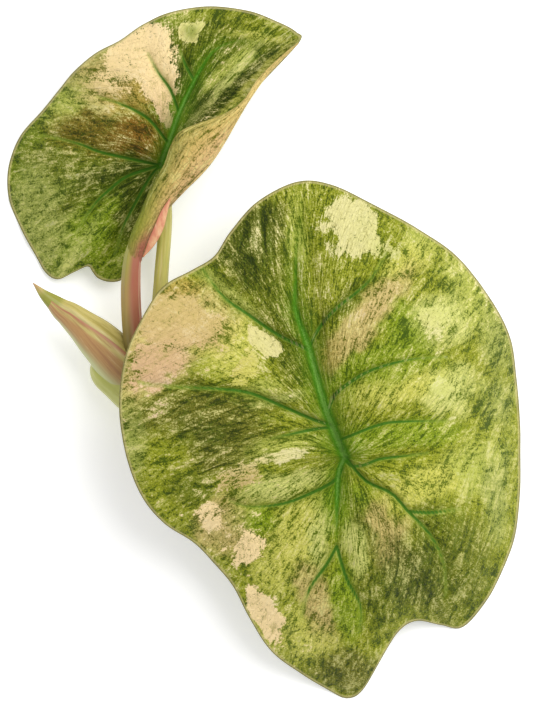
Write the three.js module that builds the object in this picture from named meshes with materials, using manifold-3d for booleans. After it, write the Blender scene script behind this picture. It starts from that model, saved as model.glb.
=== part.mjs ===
// A young variegated alocasia, lifted with its corm and laid down on a table.
// Units are millimetres and +Z is up. The plant lies on the plane z = 0, its leaf tips point to +Y,
// and its corm lies hidden under the front blade.
import * as THREE from 'three';
import Module from 'manifold-3d';

const wasm = await Module();
wasm.setup();

// ---------------------------------------------------------------- driving dimensions

const GAP = 0.3;                 // clearance between two pieces that touch
const BLADE_THICKNESS = 0.9;     // leaf blades
const CENTRING = new THREE.Vector3(0.86, -0.07, 0);   // brings the middle of the plant's box to the origin

const CORM_RADIUS = 14.5;
const CORM_BASE = [-9, -44, CORM_RADIUS];
const CORM_TOP = [-36, -21, CORM_RADIUS];
const CORM_MIDDLE = [-23, -32, CORM_RADIUS];
// girth along the corm as shares of its radius; the dips are the scars of old leaves
const CORM_GIRTH = [0.2, 0.52, 0.74, 0.88, 0.95, 1, 0.97, 1, 0.96, 0.97, 0.92, 0.92, 0.84, 0.82, 0.72, 0.68, 0.56];

const ROOT_RADIUS = 1.3;
// each root as [direction in degrees from +X, length, sideways sway]
const ROOTS = [[-92, 28, 2], [-70, 50, -4], [-48, 62, 5], [-22, 66, -5], [4, 58, 4], [26, 52, -3], [95, 36, 2]];

const CORMEL_RADIUS = 4.5;
const CORMEL_DIRECTIONS = [49.5, 229.5];           // degrees from +X, both square to the corm's axis

// A blade spreads from the point where its petiole joins it. Its margin is a ring of
// [bearing in degrees from +Y towards +X, distance from the junction, height above the table].
const FRONT_BLADE = {
  junction: [27.2, -35.2, 36],
  crown: 2.5,                    // how far the blade arches above a plain cone
  droop: 1.6,                    // above 1 the blade stays level near the junction and falls at the margin
  around: 80,
  along: 7,
  margin: [
    [145, 76, 0.5], [150, 71, 3], [156, 65, 10], [162, 65.5, 13], [168, 72, 10], [175, 85, 3], [179, 88, 0.5],
    [184, 84.5, 3], [191, 79.5, 9], [200, 74, 17], [210, 66, 24], [220, 60, 27], [230, 59, 26], [240, 60.5, 28],
    [250, 67, 33], [260, 72, 38], [272, 76, 43], [284, 80, 46], [296, 83.5, 46], [308, 85.5, 43], [314, 86, 41],
    [321, 83.5, 38], [327, 83, 36], [333, 87.5, 35], [341, 93.5, 35], [350, 97, 32], [357, 95, 29], [6, 89, 25],
    [18, 84, 20], [30, 81, 14], [43, 76.5, 9], [55, 73, 5], [67, 68, 2], [79, 65, 0.5], [91, 64, 0.5],
    [103, 65.5, 1], [115, 68.5, 3], [124, 70.5, 3], [134, 73.5, 2],
  ],
};

const REAR_BLADE = {
  junction: [-37.6, 67.3, 18],
  crown: 1.5,
  droop: 1.2,
  around: 72,
  along: 6,
  margin: [
    [216.5, 44, 9], [220, 49, 7], [223, 54.5, 4], [228, 56, 3], [236, 55, 2], [247, 55, 1], [259, 56, 0.5],
    [271, 55, 0.5], [283, 52, 1], [295, 47.5, 4], [307, 46, 6], [318, 46, 9], [330, 46.5, 10], [342, 47, 12],
    [354, 51, 14], [6, 55, 16], [18, 59, 18], [30, 62.5, 20], [40, 65, 23], [46, 66.5, 25], [49, 65, 26],
    [51.5, 47, 28], [55, 34, 29], [60.5, 26.5, 30], [72, 19.5, 30], [93, 15.5, 29], [120, 13.5, 27], [144, 12, 24],
    [161, 13, 21], [178, 17.5, 17], [186.5, 26.5, 13], [192, 33.5, 11], [196, 39, 9], [200, 43, 8], [205, 45, 7],
    [210, 45.5, 6], [213.5, 44.5, 8],
  ],
};

// Stalks and rolled leaves follow a curve through their waypoints. The half widths are spread
// evenly along it, and a roundness below 1 flattens the section.
const FRONT_PETIOLE = {
  waypoints: [[-30, -22, 16], [-30, -9, 21], [-22, 1, 25], [-8, 0, 28], [9, -13, 31], [21, -28, 32], [28, -37, 32]],
  halfWidths: [4.2, 3.8, 3.5, 3.3, 3.1, 2.9, 2.8],
};
const REAR_PETIOLE = {
  waypoints: [[-29, -18, 11], [-34, -6, 11], [-38.5, 6, 11.5], [-37.6, 27, 11], [-36, 50, 12.5], [-37.6, 66, 14.8]],
  halfWidths: [3.2, 2.9, 2.7, 2.5, 2.4, 2.3],
};
const YOUNG_PETIOLE = {
  waypoints: [[-44, -8, 16], [-47, 6, 20], [-47.8, 21, 23], [-46.4, 35, 26.5], [-43.6, 43, 29]],
  halfWidths: [3.9, 3.6, 3.5, 3.4, 3.1],
};
const BASE_SHEATH = {
  waypoints: [[-33, -23.5, 14.5], [-41, -16.5, 14], [-49, -9.5, 13.8], [-56, -3.5, 14.5], [-60, 1, 15.5]],
  halfWidths: [8, 8.8, 8.8, 8, 7],
  sides: 16,
};
const SPEAR_LEAF = {
  waypoints: [[-59.5, 0.4, 15.6], [-64.5, 7.5, 18.5], [-69, 12.8, 20.5], [-73.5, 17.2, 22.5], [-77.6, 21.4, 24], [-81.6, 25.3, 25]],
  halfWidths: [6.6, 7, 6, 4.4, 2.8, 0.5],
  sides: 12,
};
const YOUNG_BLADE = {
  waypoints: [[-43, 44.6, 29.6], [-36.5, 55.5, 36], [-28.5, 66.5, 41], [-19.5, 77.5, 42], [-9.5, 88, 38], [0.2, 98.3, 33], [10.6, 109.8, 29]],
  halfWidths: [3.6, 5, 7.4, 8.2, 4.6, 1.8, 0.8],
  roundness: 0.75,
  stations: 24,
  opening: 70,                   // degrees of the roll left open along its upper side
  around: 14,
};

// ---------------------------------------------------------------- shape helpers

const vector = ([x, y, z]) => new THREE.Vector3(x, y, z);
const curveThrough = (points, closed = false) =>
  new THREE.CatmullRomCurve3(points.map(vector), closed, 'centripetal');

function geometryFrom(points, triangles) {
  const geometry = new THREE.BufferGeometry();
  geometry.setAttribute('position', new THREE.Float32BufferAttribute(points.flatMap((p) => p.toArray()), 3));
  geometry.setIndex(triangles.flat());
  return geometry;
}

// A value spread evenly over a list, read at a share from 0 to 1 along it.
function spread(values, share) {
  const place = share * (values.length - 1);
  const index = Math.min(Math.floor(place), values.length - 2);
  return THREE.MathUtils.lerp(values[index], values[index + 1], place - index);
}

// The frame of a section: its centre, a level sideways axis and the axis square to both.
function sectionAt(curve, share) {
  const along = curve.getTangent(share);
  const sideways = new THREE.Vector3(along.y, -along.x, 0).normalize();
  return { centre: curve.getPoint(share), sideways, upwards: sideways.clone().cross(along) };
}

function pointOnSection({ centre, sideways, upwards }, halfWidth, halfHeight, angle) {
  return centre.clone()
    .addScaledVector(sideways, halfWidth * Math.cos(angle))
    .addScaledVector(upwards, halfHeight * Math.sin(angle));
}

// A closed stalk: rings of oval sections along a curve, with a flat fan over each end.
// A swell makes it larger all round, ends too, for cutting its neighbours back from it.
function stalk({ waypoints, halfWidths, roundness = 1, stations = 14, sides = 10 }, swell = 0) {
  const curve = curveThrough(waypoints);
  const firstCentre = curve.getPoint(0).addScaledVector(curve.getTangent(0), -swell);
  const lastCentre = curve.getPoint(1).addScaledVector(curve.getTangent(1), swell);
  const points = [];
  for (let ring = 0; ring <= stations; ring += 1) {
    const share = ring / stations;
    const halfWidth = spread(halfWidths, share) + swell;
    const section = sectionAt(curve, share);
    if (ring === 0) section.centre = firstCentre;
    if (ring === stations) section.centre = lastCentre;
    for (let side = 0; side < sides; side += 1) {
      const angle = (2 * Math.PI * side) / sides;
      points.push(pointOnSection(section, halfWidth, halfWidth * roundness, angle));
    }
  }
  const start = points.push(firstCentre) - 1;
  const end = points.push(lastCentre) - 1;
  const triangles = [];
  for (let side = 0; side < sides; side += 1) {
    const next = (side + 1) % sides;
    for (let ring = 0; ring < stations; ring += 1) {
      const near = ring * sides;
      const far = near + sides;
      triangles.push([near + side, far + next, near + next], [near + side, far + side, far + next]);
    }
    triangles.push([start, side, next], [end, stations * sides + next, stations * sides + side]);
  }
  return geometryFrom(points, triangles);
}

// A thin closed sheet: the middle surface moved half the thickness each way, and a rim between.
function sheet(points, triangles, thickness) {
  const normals = points.map(() => new THREE.Vector3());
  const directed = new Set();
  for (const [a, b, c] of triangles) {
    const ab = points[b].clone().sub(points[a]);
    const ac = points[c].clone().sub(points[a]);
    const normal = ab.cross(ac);
    for (const corner of [a, b, c]) normals[corner].add(normal);
    for (const edge of [[a, b], [b, c], [c, a]]) directed.add(edge.join());
  }
  const shifted = (distance) =>
    points.map((point, index) => point.clone().addScaledVector(normals[index].clone().normalize(), distance));
  const below = points.length;
  const rim = [];
  for (const edge of directed) {
    const [a, b] = edge.split(',').map(Number);
    if (!directed.has([b, a].join())) rim.push([b, a, a + below], [b, a + below, b + below]);
  }
  const underside = triangles.map(([a, b, c]) => [a + below, c + below, b + below]);
  const both = [...shifted(thickness / 2), ...shifted(-thickness / 2)];
  return geometryFrom(both, [...triangles, ...underside, ...rim]);
}

// A leaf blade: spokes run from the junction to the margin, and the height follows the spoke.
function blade({ junction, crown, droop, around, along, margin }) {
  const middle = vector(junction);
  const rim = curveThrough(margin.map(([bearing, distance, height]) => {
    const turn = THREE.MathUtils.degToRad(bearing);
    return [middle.x + distance * Math.sin(turn), middle.y + distance * Math.cos(turn), height];
  }), true);
  const points = [middle];
  const triangles = [];
  for (let spoke = 0; spoke < around; spoke += 1) {
    const edge = rim.getPoint(spoke / around);
    const first = 1 + spoke * along;
    const next = 1 + ((spoke + 1) % around) * along;
    for (let step = 1; step <= along; step += 1) {
      const share = step / along;
      const point = middle.clone().lerp(edge, share);
      point.z = middle.z + (edge.z - middle.z) * share ** droop + crown * Math.sin(Math.PI * share);
      points.push(point);
    }
    triangles.push([0, next, first]);
    for (let step = 0; step < along - 1; step += 1) {
      triangles.push([first + step, next + step, next + step + 1], [first + step, next + step + 1, first + step + 1]);
    }
  }
  return sheet(points, triangles, BLADE_THICKNESS);
}

// A half rolled leaf: a sheet bent round its centre line and left open along the top.
function rolledLeaf({ waypoints, halfWidths, roundness, stations, opening, around }) {
  const curve = curveThrough(waypoints);
  const firstAngle = THREE.MathUtils.degToRad(90 + opening / 2);
  const turn = THREE.MathUtils.degToRad(360 - opening);
  const points = [];
  const triangles = [];
  for (let ring = 0; ring <= stations; ring += 1) {
    const share = ring / stations;
    const halfWidth = spread(halfWidths, share);
    const section = sectionAt(curve, share);
    for (let step = 0; step <= around; step += 1) {
      points.push(pointOnSection(section, halfWidth, halfWidth * roundness, firstAngle + (turn * step) / around));
    }
  }
  const row = around + 1;
  for (let ring = 0; ring < stations; ring += 1) {
    for (let step = 0; step < around; step += 1) {
      const near = ring * row + step;
      triangles.push([near, near + row + 1, near + 1], [near, near + row, near + row + 1]);
    }
  }
  return sheet(points, triangles, BLADE_THICKNESS);
}

// ---------------------------------------------------------------- cutting a piece back from its neighbours

function solidFrom(geometry) {
  const mesh = new wasm.Mesh({
    numProp: 3,
    vertProperties: new Float32Array(geometry.attributes.position.array),
    triVerts: new Uint32Array(geometry.index.array),
  });
  return new wasm.Manifold(mesh);
}

function cutBack(geometry, ...neighbours) {
  let solid = solidFrom(geometry);
  for (const neighbour of neighbours) solid = solid.subtract(solidFrom(neighbour));
  const { vertProperties, triVerts } = solid.getMesh();
  const cut = new THREE.BufferGeometry();
  cut.setAttribute('position', new THREE.BufferAttribute(vertProperties, 3));
  cut.setIndex(new THREE.BufferAttribute(triVerts, 1));
  return cut;
}

// ---------------------------------------------------------------- corm, cormels and roots

const CORM = { waypoints: [CORM_BASE, CORM_TOP], halfWidths: CORM_GIRTH.map((girth) => girth * CORM_RADIUS), stations: 16, sides: 24 };

function cormel(direction) {
  const turn = THREE.MathUtils.degToRad(direction);
  const drop = CORM_RADIUS - CORMEL_RADIUS;
  const reach = Math.sqrt((CORM_RADIUS + CORMEL_RADIUS + GAP) ** 2 - drop ** 2);
  const centre = [CORM_MIDDLE[0] + reach * Math.cos(turn), CORM_MIDDLE[1] + reach * Math.sin(turn), CORMEL_RADIUS];
  const corm = vector(CORM_TOP).sub(vector(CORM_BASE)).normalize();
  const shares = [-1.15, -0.9, -0.5, 0, 0.5, 0.9, 1.25];
  const girths = [0.25, 0.68, 0.92, 1, 0.9, 0.55, 0.15];
  return stalk({
    waypoints: shares.map((share) => vector(centre).addScaledVector(corm, share * CORMEL_RADIUS).toArray()),
    halfWidths: girths.map((girth) => girth * CORMEL_RADIUS),
    stations: 12,
    sides: 12,
  });
}

// A root leaves the corm level with its underside, comes down to the table and sways along it.
function root([direction, length, sway]) {
  const turn = THREE.MathUtils.degToRad(direction);
  const ahead = new THREE.Vector3(Math.cos(turn), Math.sin(turn), 0);
  const aside = new THREE.Vector3(-Math.sin(turn), Math.cos(turn), 0);
  const middle = vector([CORM_MIDDLE[0], CORM_MIDDLE[1], 0]);
  const waypoints = [];
  for (let step = 0; step <= 8; step += 1) {
    const share = step / 8;
    const lift = 6 * Math.max(0, 1 - share * 3) ** 2;
    const thinning = ROOT_RADIUS * (1 - 0.6 * share);
    const point = middle.clone()
      .addScaledVector(ahead, length * share)
      .addScaledVector(aside, sway * Math.sin(share * 2 * Math.PI) * share);
    point.z = lift + thinning + 0.05;
    waypoints.push(point.toArray());
  }
  return stalk({ waypoints, halfWidths: [ROOT_RADIUS, ROOT_RADIUS * 0.4], stations: 16, sides: 6 });
}

// ---------------------------------------------------------------- finishes

const finish = (colour, roughness) => new THREE.MeshStandardMaterial({ color: colour, roughness, metalness: 0 });
const CORM_SKIN = finish('#6f5138', 0.85);
const ROOT_SKIN = finish('#d8c6a2', 0.75);
const PETIOLE_GREEN = finish('#bbb257', 0.45);
const PETIOLE_PINK = finish('#aa6c58', 0.45);
const SHEATH_SKIN = finish('#abae59', 0.5);
const YOUNG_LEAF_SKIN = finish('#d4b977', 0.5);
const BLADE_SKIN = finish('#7f8a3c', 0.5);

// ---------------------------------------------------------------- the plant

const plant = new THREE.Group();

function add(name, geometry, material) {
  geometry.translate(...CENTRING.toArray());
  const mesh = new THREE.Mesh(geometry, material);
  mesh.name = name;
  plant.add(mesh);
}

const cormSwollen = stalk(CORM, GAP);
const sheathSwollen = stalk(BASE_SHEATH, GAP);

add('corm', stalk(CORM), CORM_SKIN);
CORMEL_DIRECTIONS.forEach((direction, index) => add(`cormel_${index + 1}`, cormel(direction), CORM_SKIN));
ROOTS.forEach((shape, index) => add(`root_${index + 1}`, cutBack(root(shape), cormSwollen), ROOT_SKIN));

add('base_sheath', cutBack(stalk(BASE_SHEATH), cormSwollen), SHEATH_SKIN);
add('spear_leaf', cutBack(stalk(SPEAR_LEAF), sheathSwollen), YOUNG_LEAF_SKIN);

add('front_petiole', cutBack(stalk(FRONT_PETIOLE), cormSwollen, sheathSwollen), PETIOLE_GREEN);
add('front_blade', blade(FRONT_BLADE), BLADE_SKIN);

add('rear_petiole', cutBack(stalk(REAR_PETIOLE), cormSwollen, sheathSwollen), PETIOLE_GREEN);
add('rear_blade', blade(REAR_BLADE), BLADE_SKIN);

add('young_petiole', cutBack(stalk(YOUNG_PETIOLE), sheathSwollen), PETIOLE_PINK);
add('young_blade', rolledLeaf(YOUNG_BLADE), YOUNG_LEAF_SKIN);

export default plant;
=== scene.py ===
"""A young variegated alocasia, lifted with its corm and laid on a pale table.

The plant is built from its own parts: two broad blades, a half rolled young leaf, a rolled spear,
their stalks, the swollen sheath at the foot, and the corm with its offsets and roots. Plan sizes
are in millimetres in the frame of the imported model, before its box is centred.
"""

from __future__ import annotations

import logging
import math
from dataclasses import dataclass, field
from enum import Enum

import bpy
import numpy as np
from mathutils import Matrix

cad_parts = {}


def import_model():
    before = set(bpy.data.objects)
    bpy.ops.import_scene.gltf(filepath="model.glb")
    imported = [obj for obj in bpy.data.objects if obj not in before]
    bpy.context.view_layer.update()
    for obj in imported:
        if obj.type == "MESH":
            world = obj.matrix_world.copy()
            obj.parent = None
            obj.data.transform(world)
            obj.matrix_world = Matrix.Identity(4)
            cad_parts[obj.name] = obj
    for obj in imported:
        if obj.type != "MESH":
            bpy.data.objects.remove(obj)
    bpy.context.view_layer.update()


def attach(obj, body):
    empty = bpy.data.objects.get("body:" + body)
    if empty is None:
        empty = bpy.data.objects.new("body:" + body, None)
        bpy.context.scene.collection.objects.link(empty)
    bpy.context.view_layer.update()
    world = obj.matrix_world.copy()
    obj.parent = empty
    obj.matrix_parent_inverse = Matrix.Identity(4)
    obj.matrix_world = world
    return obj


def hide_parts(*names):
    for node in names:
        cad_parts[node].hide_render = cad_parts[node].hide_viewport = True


LOG = logging.getLogger("alocasia")
MM = 0.001
CENTRING = np.array([0.86, -0.07, 0.0])  # mm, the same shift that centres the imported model's box
FULL_TURN = 2.0 * math.pi
BODY = "root"
FLOOR = 0.02  # mm, the lowest that anything comes to the table
Point = tuple[float, float, float]


# ------------------------------------------------------------------ colour and nodes


def linear(hex_colour: str) -> tuple[float, float, float, float]:
    """Turns an sRGB hex colour into the linear RGBA that shaders work in.

    Args:
        hex_colour: six hex digits after a hash.
    Returns:
        The linear red, green and blue, with an alpha of one.
    """
    parts = [int(hex_colour[i : i + 2], 16) / 255.0 for i in (1, 3, 5)]
    red, green, blue = (p / 12.92 if p <= 0.04045 else ((p + 0.055) / 1.055) ** 2.4 for p in parts)
    return red, green, blue, 1.0


def rgb(hex_colour: str) -> np.ndarray:
    """The linear red, green and blue of a hex colour, for colours that are worked out by point."""
    return np.array(linear(hex_colour)[:3])


def add_node(
    tree: bpy.types.NodeTree, kind: str, settings: dict[str, object] | None = None, **inputs: object
) -> bpy.types.Node:
    """Adds one node, sets its properties, and fills or links its inputs.

    Args:
        tree: the node tree that takes the node.
        kind: the node's type name.
        settings: properties of the node itself.
        inputs: values or sockets by input; a name has underscores for spaces, or is in_ and its place.
    Returns:
        The new node.
    """
    node = tree.nodes.new(kind)
    for key, value in (settings or {}).items():
        setattr(node, key, value)
    for key, value in inputs.items():
        place = int(key[3:]) if key.startswith("in_") else key.replace("_", " ")
        target = node.inputs[place]
        if isinstance(value, bpy.types.NodeSocket):
            tree.links.new(value, target)
        else:
            target.default_value = value
    return node


@dataclass
class Paint:
    """A material under construction, with short ways to add the sums that its pattern needs."""

    name: str
    material: bpy.types.Material = field(init=False)
    tree: bpy.types.NodeTree = field(init=False)
    shader: bpy.types.Node = field(init=False)

    def __post_init__(self) -> None:
        """Makes the empty material with its shader."""
        self.material = bpy.data.materials.new(self.name)
        self.material.use_nodes = True
        self.tree = self.material.node_tree
        self.shader = self.tree.nodes["Principled BSDF"]

    def attribute(self, name: str, output: str = "Fac") -> bpy.types.NodeSocket:
        """Reads one of the piece's own attributes."""
        node = add_node(self.tree, "ShaderNodeAttribute", {"attribute_name": name})
        return node.outputs[output]

    def sums(self, operation: str, *values: object, clamp: bool = False) -> bpy.types.NodeSocket:
        """Applies a Math operation to sockets or numbers."""
        inputs = {f"in_{i}": value for i, value in enumerate(values)}
        node = add_node(self.tree, "ShaderNodeMath", {"operation": operation, "use_clamp": clamp}, **inputs)
        return node.outputs[0]

    def centred(self, noise: bpy.types.NodeSocket) -> bpy.types.NodeSocket:
        """Takes one half from a noise, so that it swings about zero."""
        return self.sums("SUBTRACT", noise, 0.5)

    def weighed(self, value: object, weight: object, total: object = 0.0) -> bpy.types.NodeSocket:
        """Adds a value times its weight to a total."""
        return self.sums("MULTIPLY_ADD", value, weight, total)

    def noise(
        self, vector: bpy.types.NodeSocket, size: float, detail: float = 3.0, roughness: float = 0.55,
        distortion: float = 0.0,
    ) -> bpy.types.NodeSocket:
        """Adds cloud noise.

        Args:
            vector: the place that it is read at.
            size: about how wide a blotch is, in the vector's units.
            detail: how many finer layers are added.
            roughness: how strong each finer layer is beside the one before.
            distortion: how far the blotches are pulled about.
        Returns:
            The noise, mostly between 0.2 and 0.8.
        """
        node = add_node(
            self.tree, "ShaderNodeTexNoise", {"noise_dimensions": "3D"},
            Vector=vector, Scale=1.0 / size, Detail=detail, Roughness=roughness, Distortion=distortion,
        )
        return node.outputs["Fac"]

    def ramp(
        self, value: bpy.types.NodeSocket, low: float, high: float, top: float = 1.0
    ) -> bpy.types.NodeSocket:
        """Rises smoothly from zero at low to top at high."""
        node = add_node(
            self.tree, "ShaderNodeMapRange", {"interpolation_type": "SMOOTHSTEP"},
            Value=value, From_Min=low, From_Max=high, To_Min=0.0, To_Max=top,
        )
        return node.outputs[0]

    def blend(self, share: object, under: object, over: object, how: str = "MIX") -> bpy.types.NodeSocket:
        """Lays one colour over another by a share from 0 to 1."""
        node = add_node(
            self.tree, "ShaderNodeMix", {"data_type": "RGBA", "blend_type": how, "clamp_factor": True},
            in_0=share, in_6=under, in_7=over,
        )
        return node.outputs[2]

    def shifted(
        self, vector: bpy.types.NodeSocket, other: bpy.types.NodeSocket, share: float
    ) -> bpy.types.NodeSocket:
        """Adds a share of one vector to another."""
        node = add_node(
            self.tree, "ShaderNodeVectorMath", {"operation": "MULTIPLY_ADD"},
            in_0=other, in_1=(share, share, share), in_2=vector,
        )
        return node.outputs[0]

    def object_mm(self) -> bpy.types.NodeSocket:
        """Object coordinates scaled to millimetres."""
        place = add_node(self.tree, "ShaderNodeTexCoord")
        scaled = add_node(
            self.tree, "ShaderNodeVectorMath", {"operation": "SCALE"},
            Vector=place.outputs["Object"], Scale=1.0 / MM,
        )
        return scaled.outputs[0]

    def finish(
        self, colour: object, roughness: object, relief: bpy.types.NodeSocket | None = None,
        depth_mm: float = 0.1, **shader: object,
    ) -> bpy.types.Material:
        """Links the pattern to the shader.

        Args:
            colour: the base colour.
            roughness: a number or a socket.
            relief: a height from 0 to 1 for the fine surface.
            depth_mm: what a height of one stands for.
            shader: constants for the shader's own sockets.
        Returns:
            The finished material.
        """
        if relief is not None:
            bump = add_node(
                self.tree, "ShaderNodeBump", Strength=1.0, Distance=depth_mm * MM, Height=relief
            )
            self.tree.links.new(bump.outputs[0], self.shader.inputs["Normal"])
        for key, value in {"Base_Color": colour, "Roughness": roughness, **shader}.items():
            target = self.shader.inputs[key.replace("_", " ")]
            if isinstance(value, bpy.types.NodeSocket):
                self.tree.links.new(value, target)
            else:
                target.default_value = value
        return self.material


# ------------------------------------------------------------------ number tools


def smoothstep(low: float, high: float, value: np.ndarray) -> np.ndarray:
    """Rises from 0 at low to 1 at high as 3t^2 - 2t^3, where t is the clipped share of the way."""
    share = np.clip((value - low) / (high - low), 0.0, 1.0)
    return share * share * (3.0 - 2.0 * share)


def bell(distance: np.ndarray, reach: np.ndarray | float) -> np.ndarray:
    """Falls from 1 as e to the power of minus the square of the distance over the reach."""
    return np.exp(-((distance / reach) ** 2))


def full_circle(count: int) -> np.ndarray:
    """Evenly spread angles, in radians, once round."""
    return np.linspace(0.0, FULL_TURN, count, endpoint=False)


def smooth_curve(points: np.ndarray, count: int, closed: bool = False) -> np.ndarray:
    """Carries a smooth curve through waypoints.

    Each stretch is a cubic whose end slopes are half the step between the neighbouring waypoints
    (Catmull and Rom's rule), so the curve passes through every waypoint.

    Args:
        points: the waypoints, one a row.
        count: how many points to return, evenly spread by arc length.
        closed: whether the last waypoint runs on to the first.
    Returns:
        An array of count rows.
    """
    points = np.asarray(points, float)
    if closed:
        padded = np.vstack([points[-1], points, points[0], points[1]])
    else:
        padded = np.vstack([2 * points[0] - points[1], points, 2 * points[-1] - points[-2]])
    stretches = len(padded) - 3
    place = np.linspace(0.0, stretches, 40 * stretches + 1)
    index = np.minimum(place.astype(int), stretches - 1)
    t = (place - index)[:, None]
    before, start, end, after = (padded[index + k] for k in range(4))
    fine = 0.5 * (
        2 * start
        + (end - before) * t
        + (2 * before - 5 * start + 4 * end - after) * t**2
        + (3 * start - before - 3 * end + after) * t**3
    )
    lengths = np.concatenate([[0.0], np.cumsum(np.linalg.norm(np.diff(fine, axis=0), axis=1))])
    wanted = np.linspace(0.0, lengths[-1], count, endpoint=not closed)
    return np.stack([np.interp(wanted, lengths, fine[:, axis]) for axis in range(fine.shape[1])], axis=1)


def spread(values: tuple[float, ...], shares: np.ndarray) -> np.ndarray:
    """Reads a list spread evenly from 0 to 1, with a smooth curve through its values."""
    curve = smooth_curve(np.stack([np.linspace(0, 1, len(values)), np.array(values)], axis=1), 400)
    return np.interp(shares, curve[:, 0], curve[:, 1])


def cloud(xy: np.ndarray, size: float, seed: int, octaves: int = 3) -> np.ndarray:
    """Smooth cloud noise from -1 to 1.

    Random heights on a square lattice of the given size are blended between its corners with the
    smoothstep curve, and each further octave adds half as much at half the size.

    Args:
        xy: places, two a row.
        size: the lattice's step, in the units of the places.
        seed: picks the heights.
        octaves: how many sizes are added.
    Returns:
        One value for each place.
    """
    heights = np.random.default_rng(seed).uniform(-1.0, 1.0, (64, 64))
    total = np.zeros(len(xy))
    reach = 0.0
    for octave in range(octaves):
        place = xy * (2**octave) / size + 17.3 * (octave + 1)
        corner = np.floor(place).astype(int)
        share = place - corner
        share = share * share * (3 - 2 * share)
        (i, j), (i1, j1) = (corner % 64).T, ((corner + 1) % 64).T
        low = heights[i, j] * (1 - share[:, 0]) + heights[i1, j] * share[:, 0]
        high = heights[i, j1] * (1 - share[:, 0]) + heights[i1, j1] * share[:, 0]
        total += (low * (1 - share[:, 1]) + high * share[:, 1]) / 2**octave
        reach += 1.0 / 2**octave
    return total / reach


# ------------------------------------------------------------------ meshes


@dataclass
class Surface:
    """A mesh made from rings of points, ready to be given attributes, a finish and a body."""

    name: str
    rings: np.ndarray  # (rings, points in a ring, 3), millimetres
    wrapped: bool = True  # whether each ring closes on itself
    first_pole: np.ndarray | None = None
    last_pole: np.ndarray | None = None
    flipped: bool = False
    under_from: int | None = None  # the ring from which faces take the second finish
    values: dict[str, np.ndarray] = field(default_factory=dict)

    def build(self) -> bpy.types.Object:
        """Makes the object: a quad between each four neighbours, and a fan of triangles to each pole.

        Returns:
            The object, linked into the scene, with its attributes and no finish yet.
        """
        rows, columns, _ = self.rings.shape
        vertices = [self.rings.reshape(-1, 3)]
        index = np.arange(rows * columns).reshape(rows, columns)
        ahead = np.roll(index, -1, axis=1) if self.wrapped else index[:, 1:]
        here = index if self.wrapped else index[:, :-1]
        quads = np.stack([here[:-1], ahead[:-1], ahead[1:], here[1:]], axis=-1).reshape(-1, 4)
        fans = []
        extra = rows * columns
        for pole, ring, turned in ((self.first_pole, 0, True), (self.last_pole, rows - 1, False)):
            if pole is not None:
                vertices.append(np.asarray(pole, float).reshape(1, 3))
                a, b = (ahead[ring], here[ring]) if turned else (here[ring], ahead[ring])
                fans.append(np.stack([a, b, np.full(len(a), extra)], axis=-1))
                extra += 1
        triangles = np.concatenate(fans) if fans else np.zeros((0, 3), int)
        if self.flipped:
            quads, triangles = quads[:, ::-1], triangles[:, ::-1]
        places = (np.concatenate(vertices) + CENTRING) * MM
        mesh = bpy.data.meshes.new(self.name)
        mesh.vertices.add(len(places))
        mesh.vertices.foreach_set("co", places.astype(np.float32).ravel())
        corners = np.concatenate([quads.ravel(), triangles.ravel()]).astype(np.int32)
        mesh.loops.add(len(corners))
        mesh.loops.foreach_set("vertex_index", corners)
        sizes = np.concatenate([np.full(len(quads), 4), np.full(len(triangles), 3)])
        starts = np.concatenate([[0], np.cumsum(sizes)[:-1]])
        mesh.polygons.add(len(sizes))
        mesh.polygons.foreach_set("loop_start", starts.astype(np.int32))
        if self.under_from is not None:
            second = np.zeros(len(sizes), np.int32)
            second[self.under_from * here.shape[1] :] = 1
            second[len(quads) : len(quads) + here.shape[1]] = 0
            mesh.polygons.foreach_set("material_index", second)
        mesh.update(calc_edges=True)
        mesh.validate()
        mesh.shade_smooth()
        for key, value in self.values.items():
            self._store(mesh, key, value)
        piece = bpy.data.objects.new(f"{self.name}_surface", mesh)
        bpy.context.scene.collection.objects.link(piece)
        return piece

    def _store(self, mesh: bpy.types.Mesh, key: str, value: np.ndarray) -> None:
        """Writes one attribute, a number or three for each point.

        Args:
            mesh: the finished mesh.
            key: the attribute's name.
            value: its values by ring and point; a pole takes the mean of the ring beside it.
        """
        rows, columns, _ = self.rings.shape
        flat = value.reshape(rows * columns, -1)
        for pole, ring in ((self.first_pole, 0), (self.last_pole, -1)):
            if pole is not None:
                flat = np.vstack([flat, value[ring].reshape(columns, -1).mean(axis=0)])
        kind, slot = ("FLOAT", "value") if flat.shape[1] == 1 else ("FLOAT_VECTOR", "vector")
        attribute = mesh.attributes.new(key, kind, "POINT")
        attribute.data.foreach_set(slot, flat.astype(np.float32).ravel())


def rod(name: str, path: Path, rings: np.ndarray) -> Surface:
    """A closed skin round a path, with a pole at both ends of its centre line."""
    return Surface(name, rings, first_pole=path.centre[0], last_pole=path.centre[-1], flipped=True)


def dress(piece: bpy.types.Object, slot: str, nodes: tuple[str, ...], *finishes: bpy.types.Material) -> None:
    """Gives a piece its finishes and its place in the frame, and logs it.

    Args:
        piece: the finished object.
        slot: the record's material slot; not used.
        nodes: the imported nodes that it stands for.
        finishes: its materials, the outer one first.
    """
    for finish in finishes:
        piece.data.materials.append(finish)
    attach(piece, BODY)
    if nodes:
        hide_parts(*nodes)
    stands_for = ", ".join(nodes) or "nothing"
    LOG.info("%s: %d faces, stands for %s", piece.name, len(piece.data.polygons), stands_for)


def thicken(piece: bpy.types.Object, thickness_mm: float) -> None:
    """Gives a sheet its wall, half to each side."""
    wall = piece.modifiers.new("wall", "SOLIDIFY")
    wall.thickness = thickness_mm * MM
    wall.offset = 0.0


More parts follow.
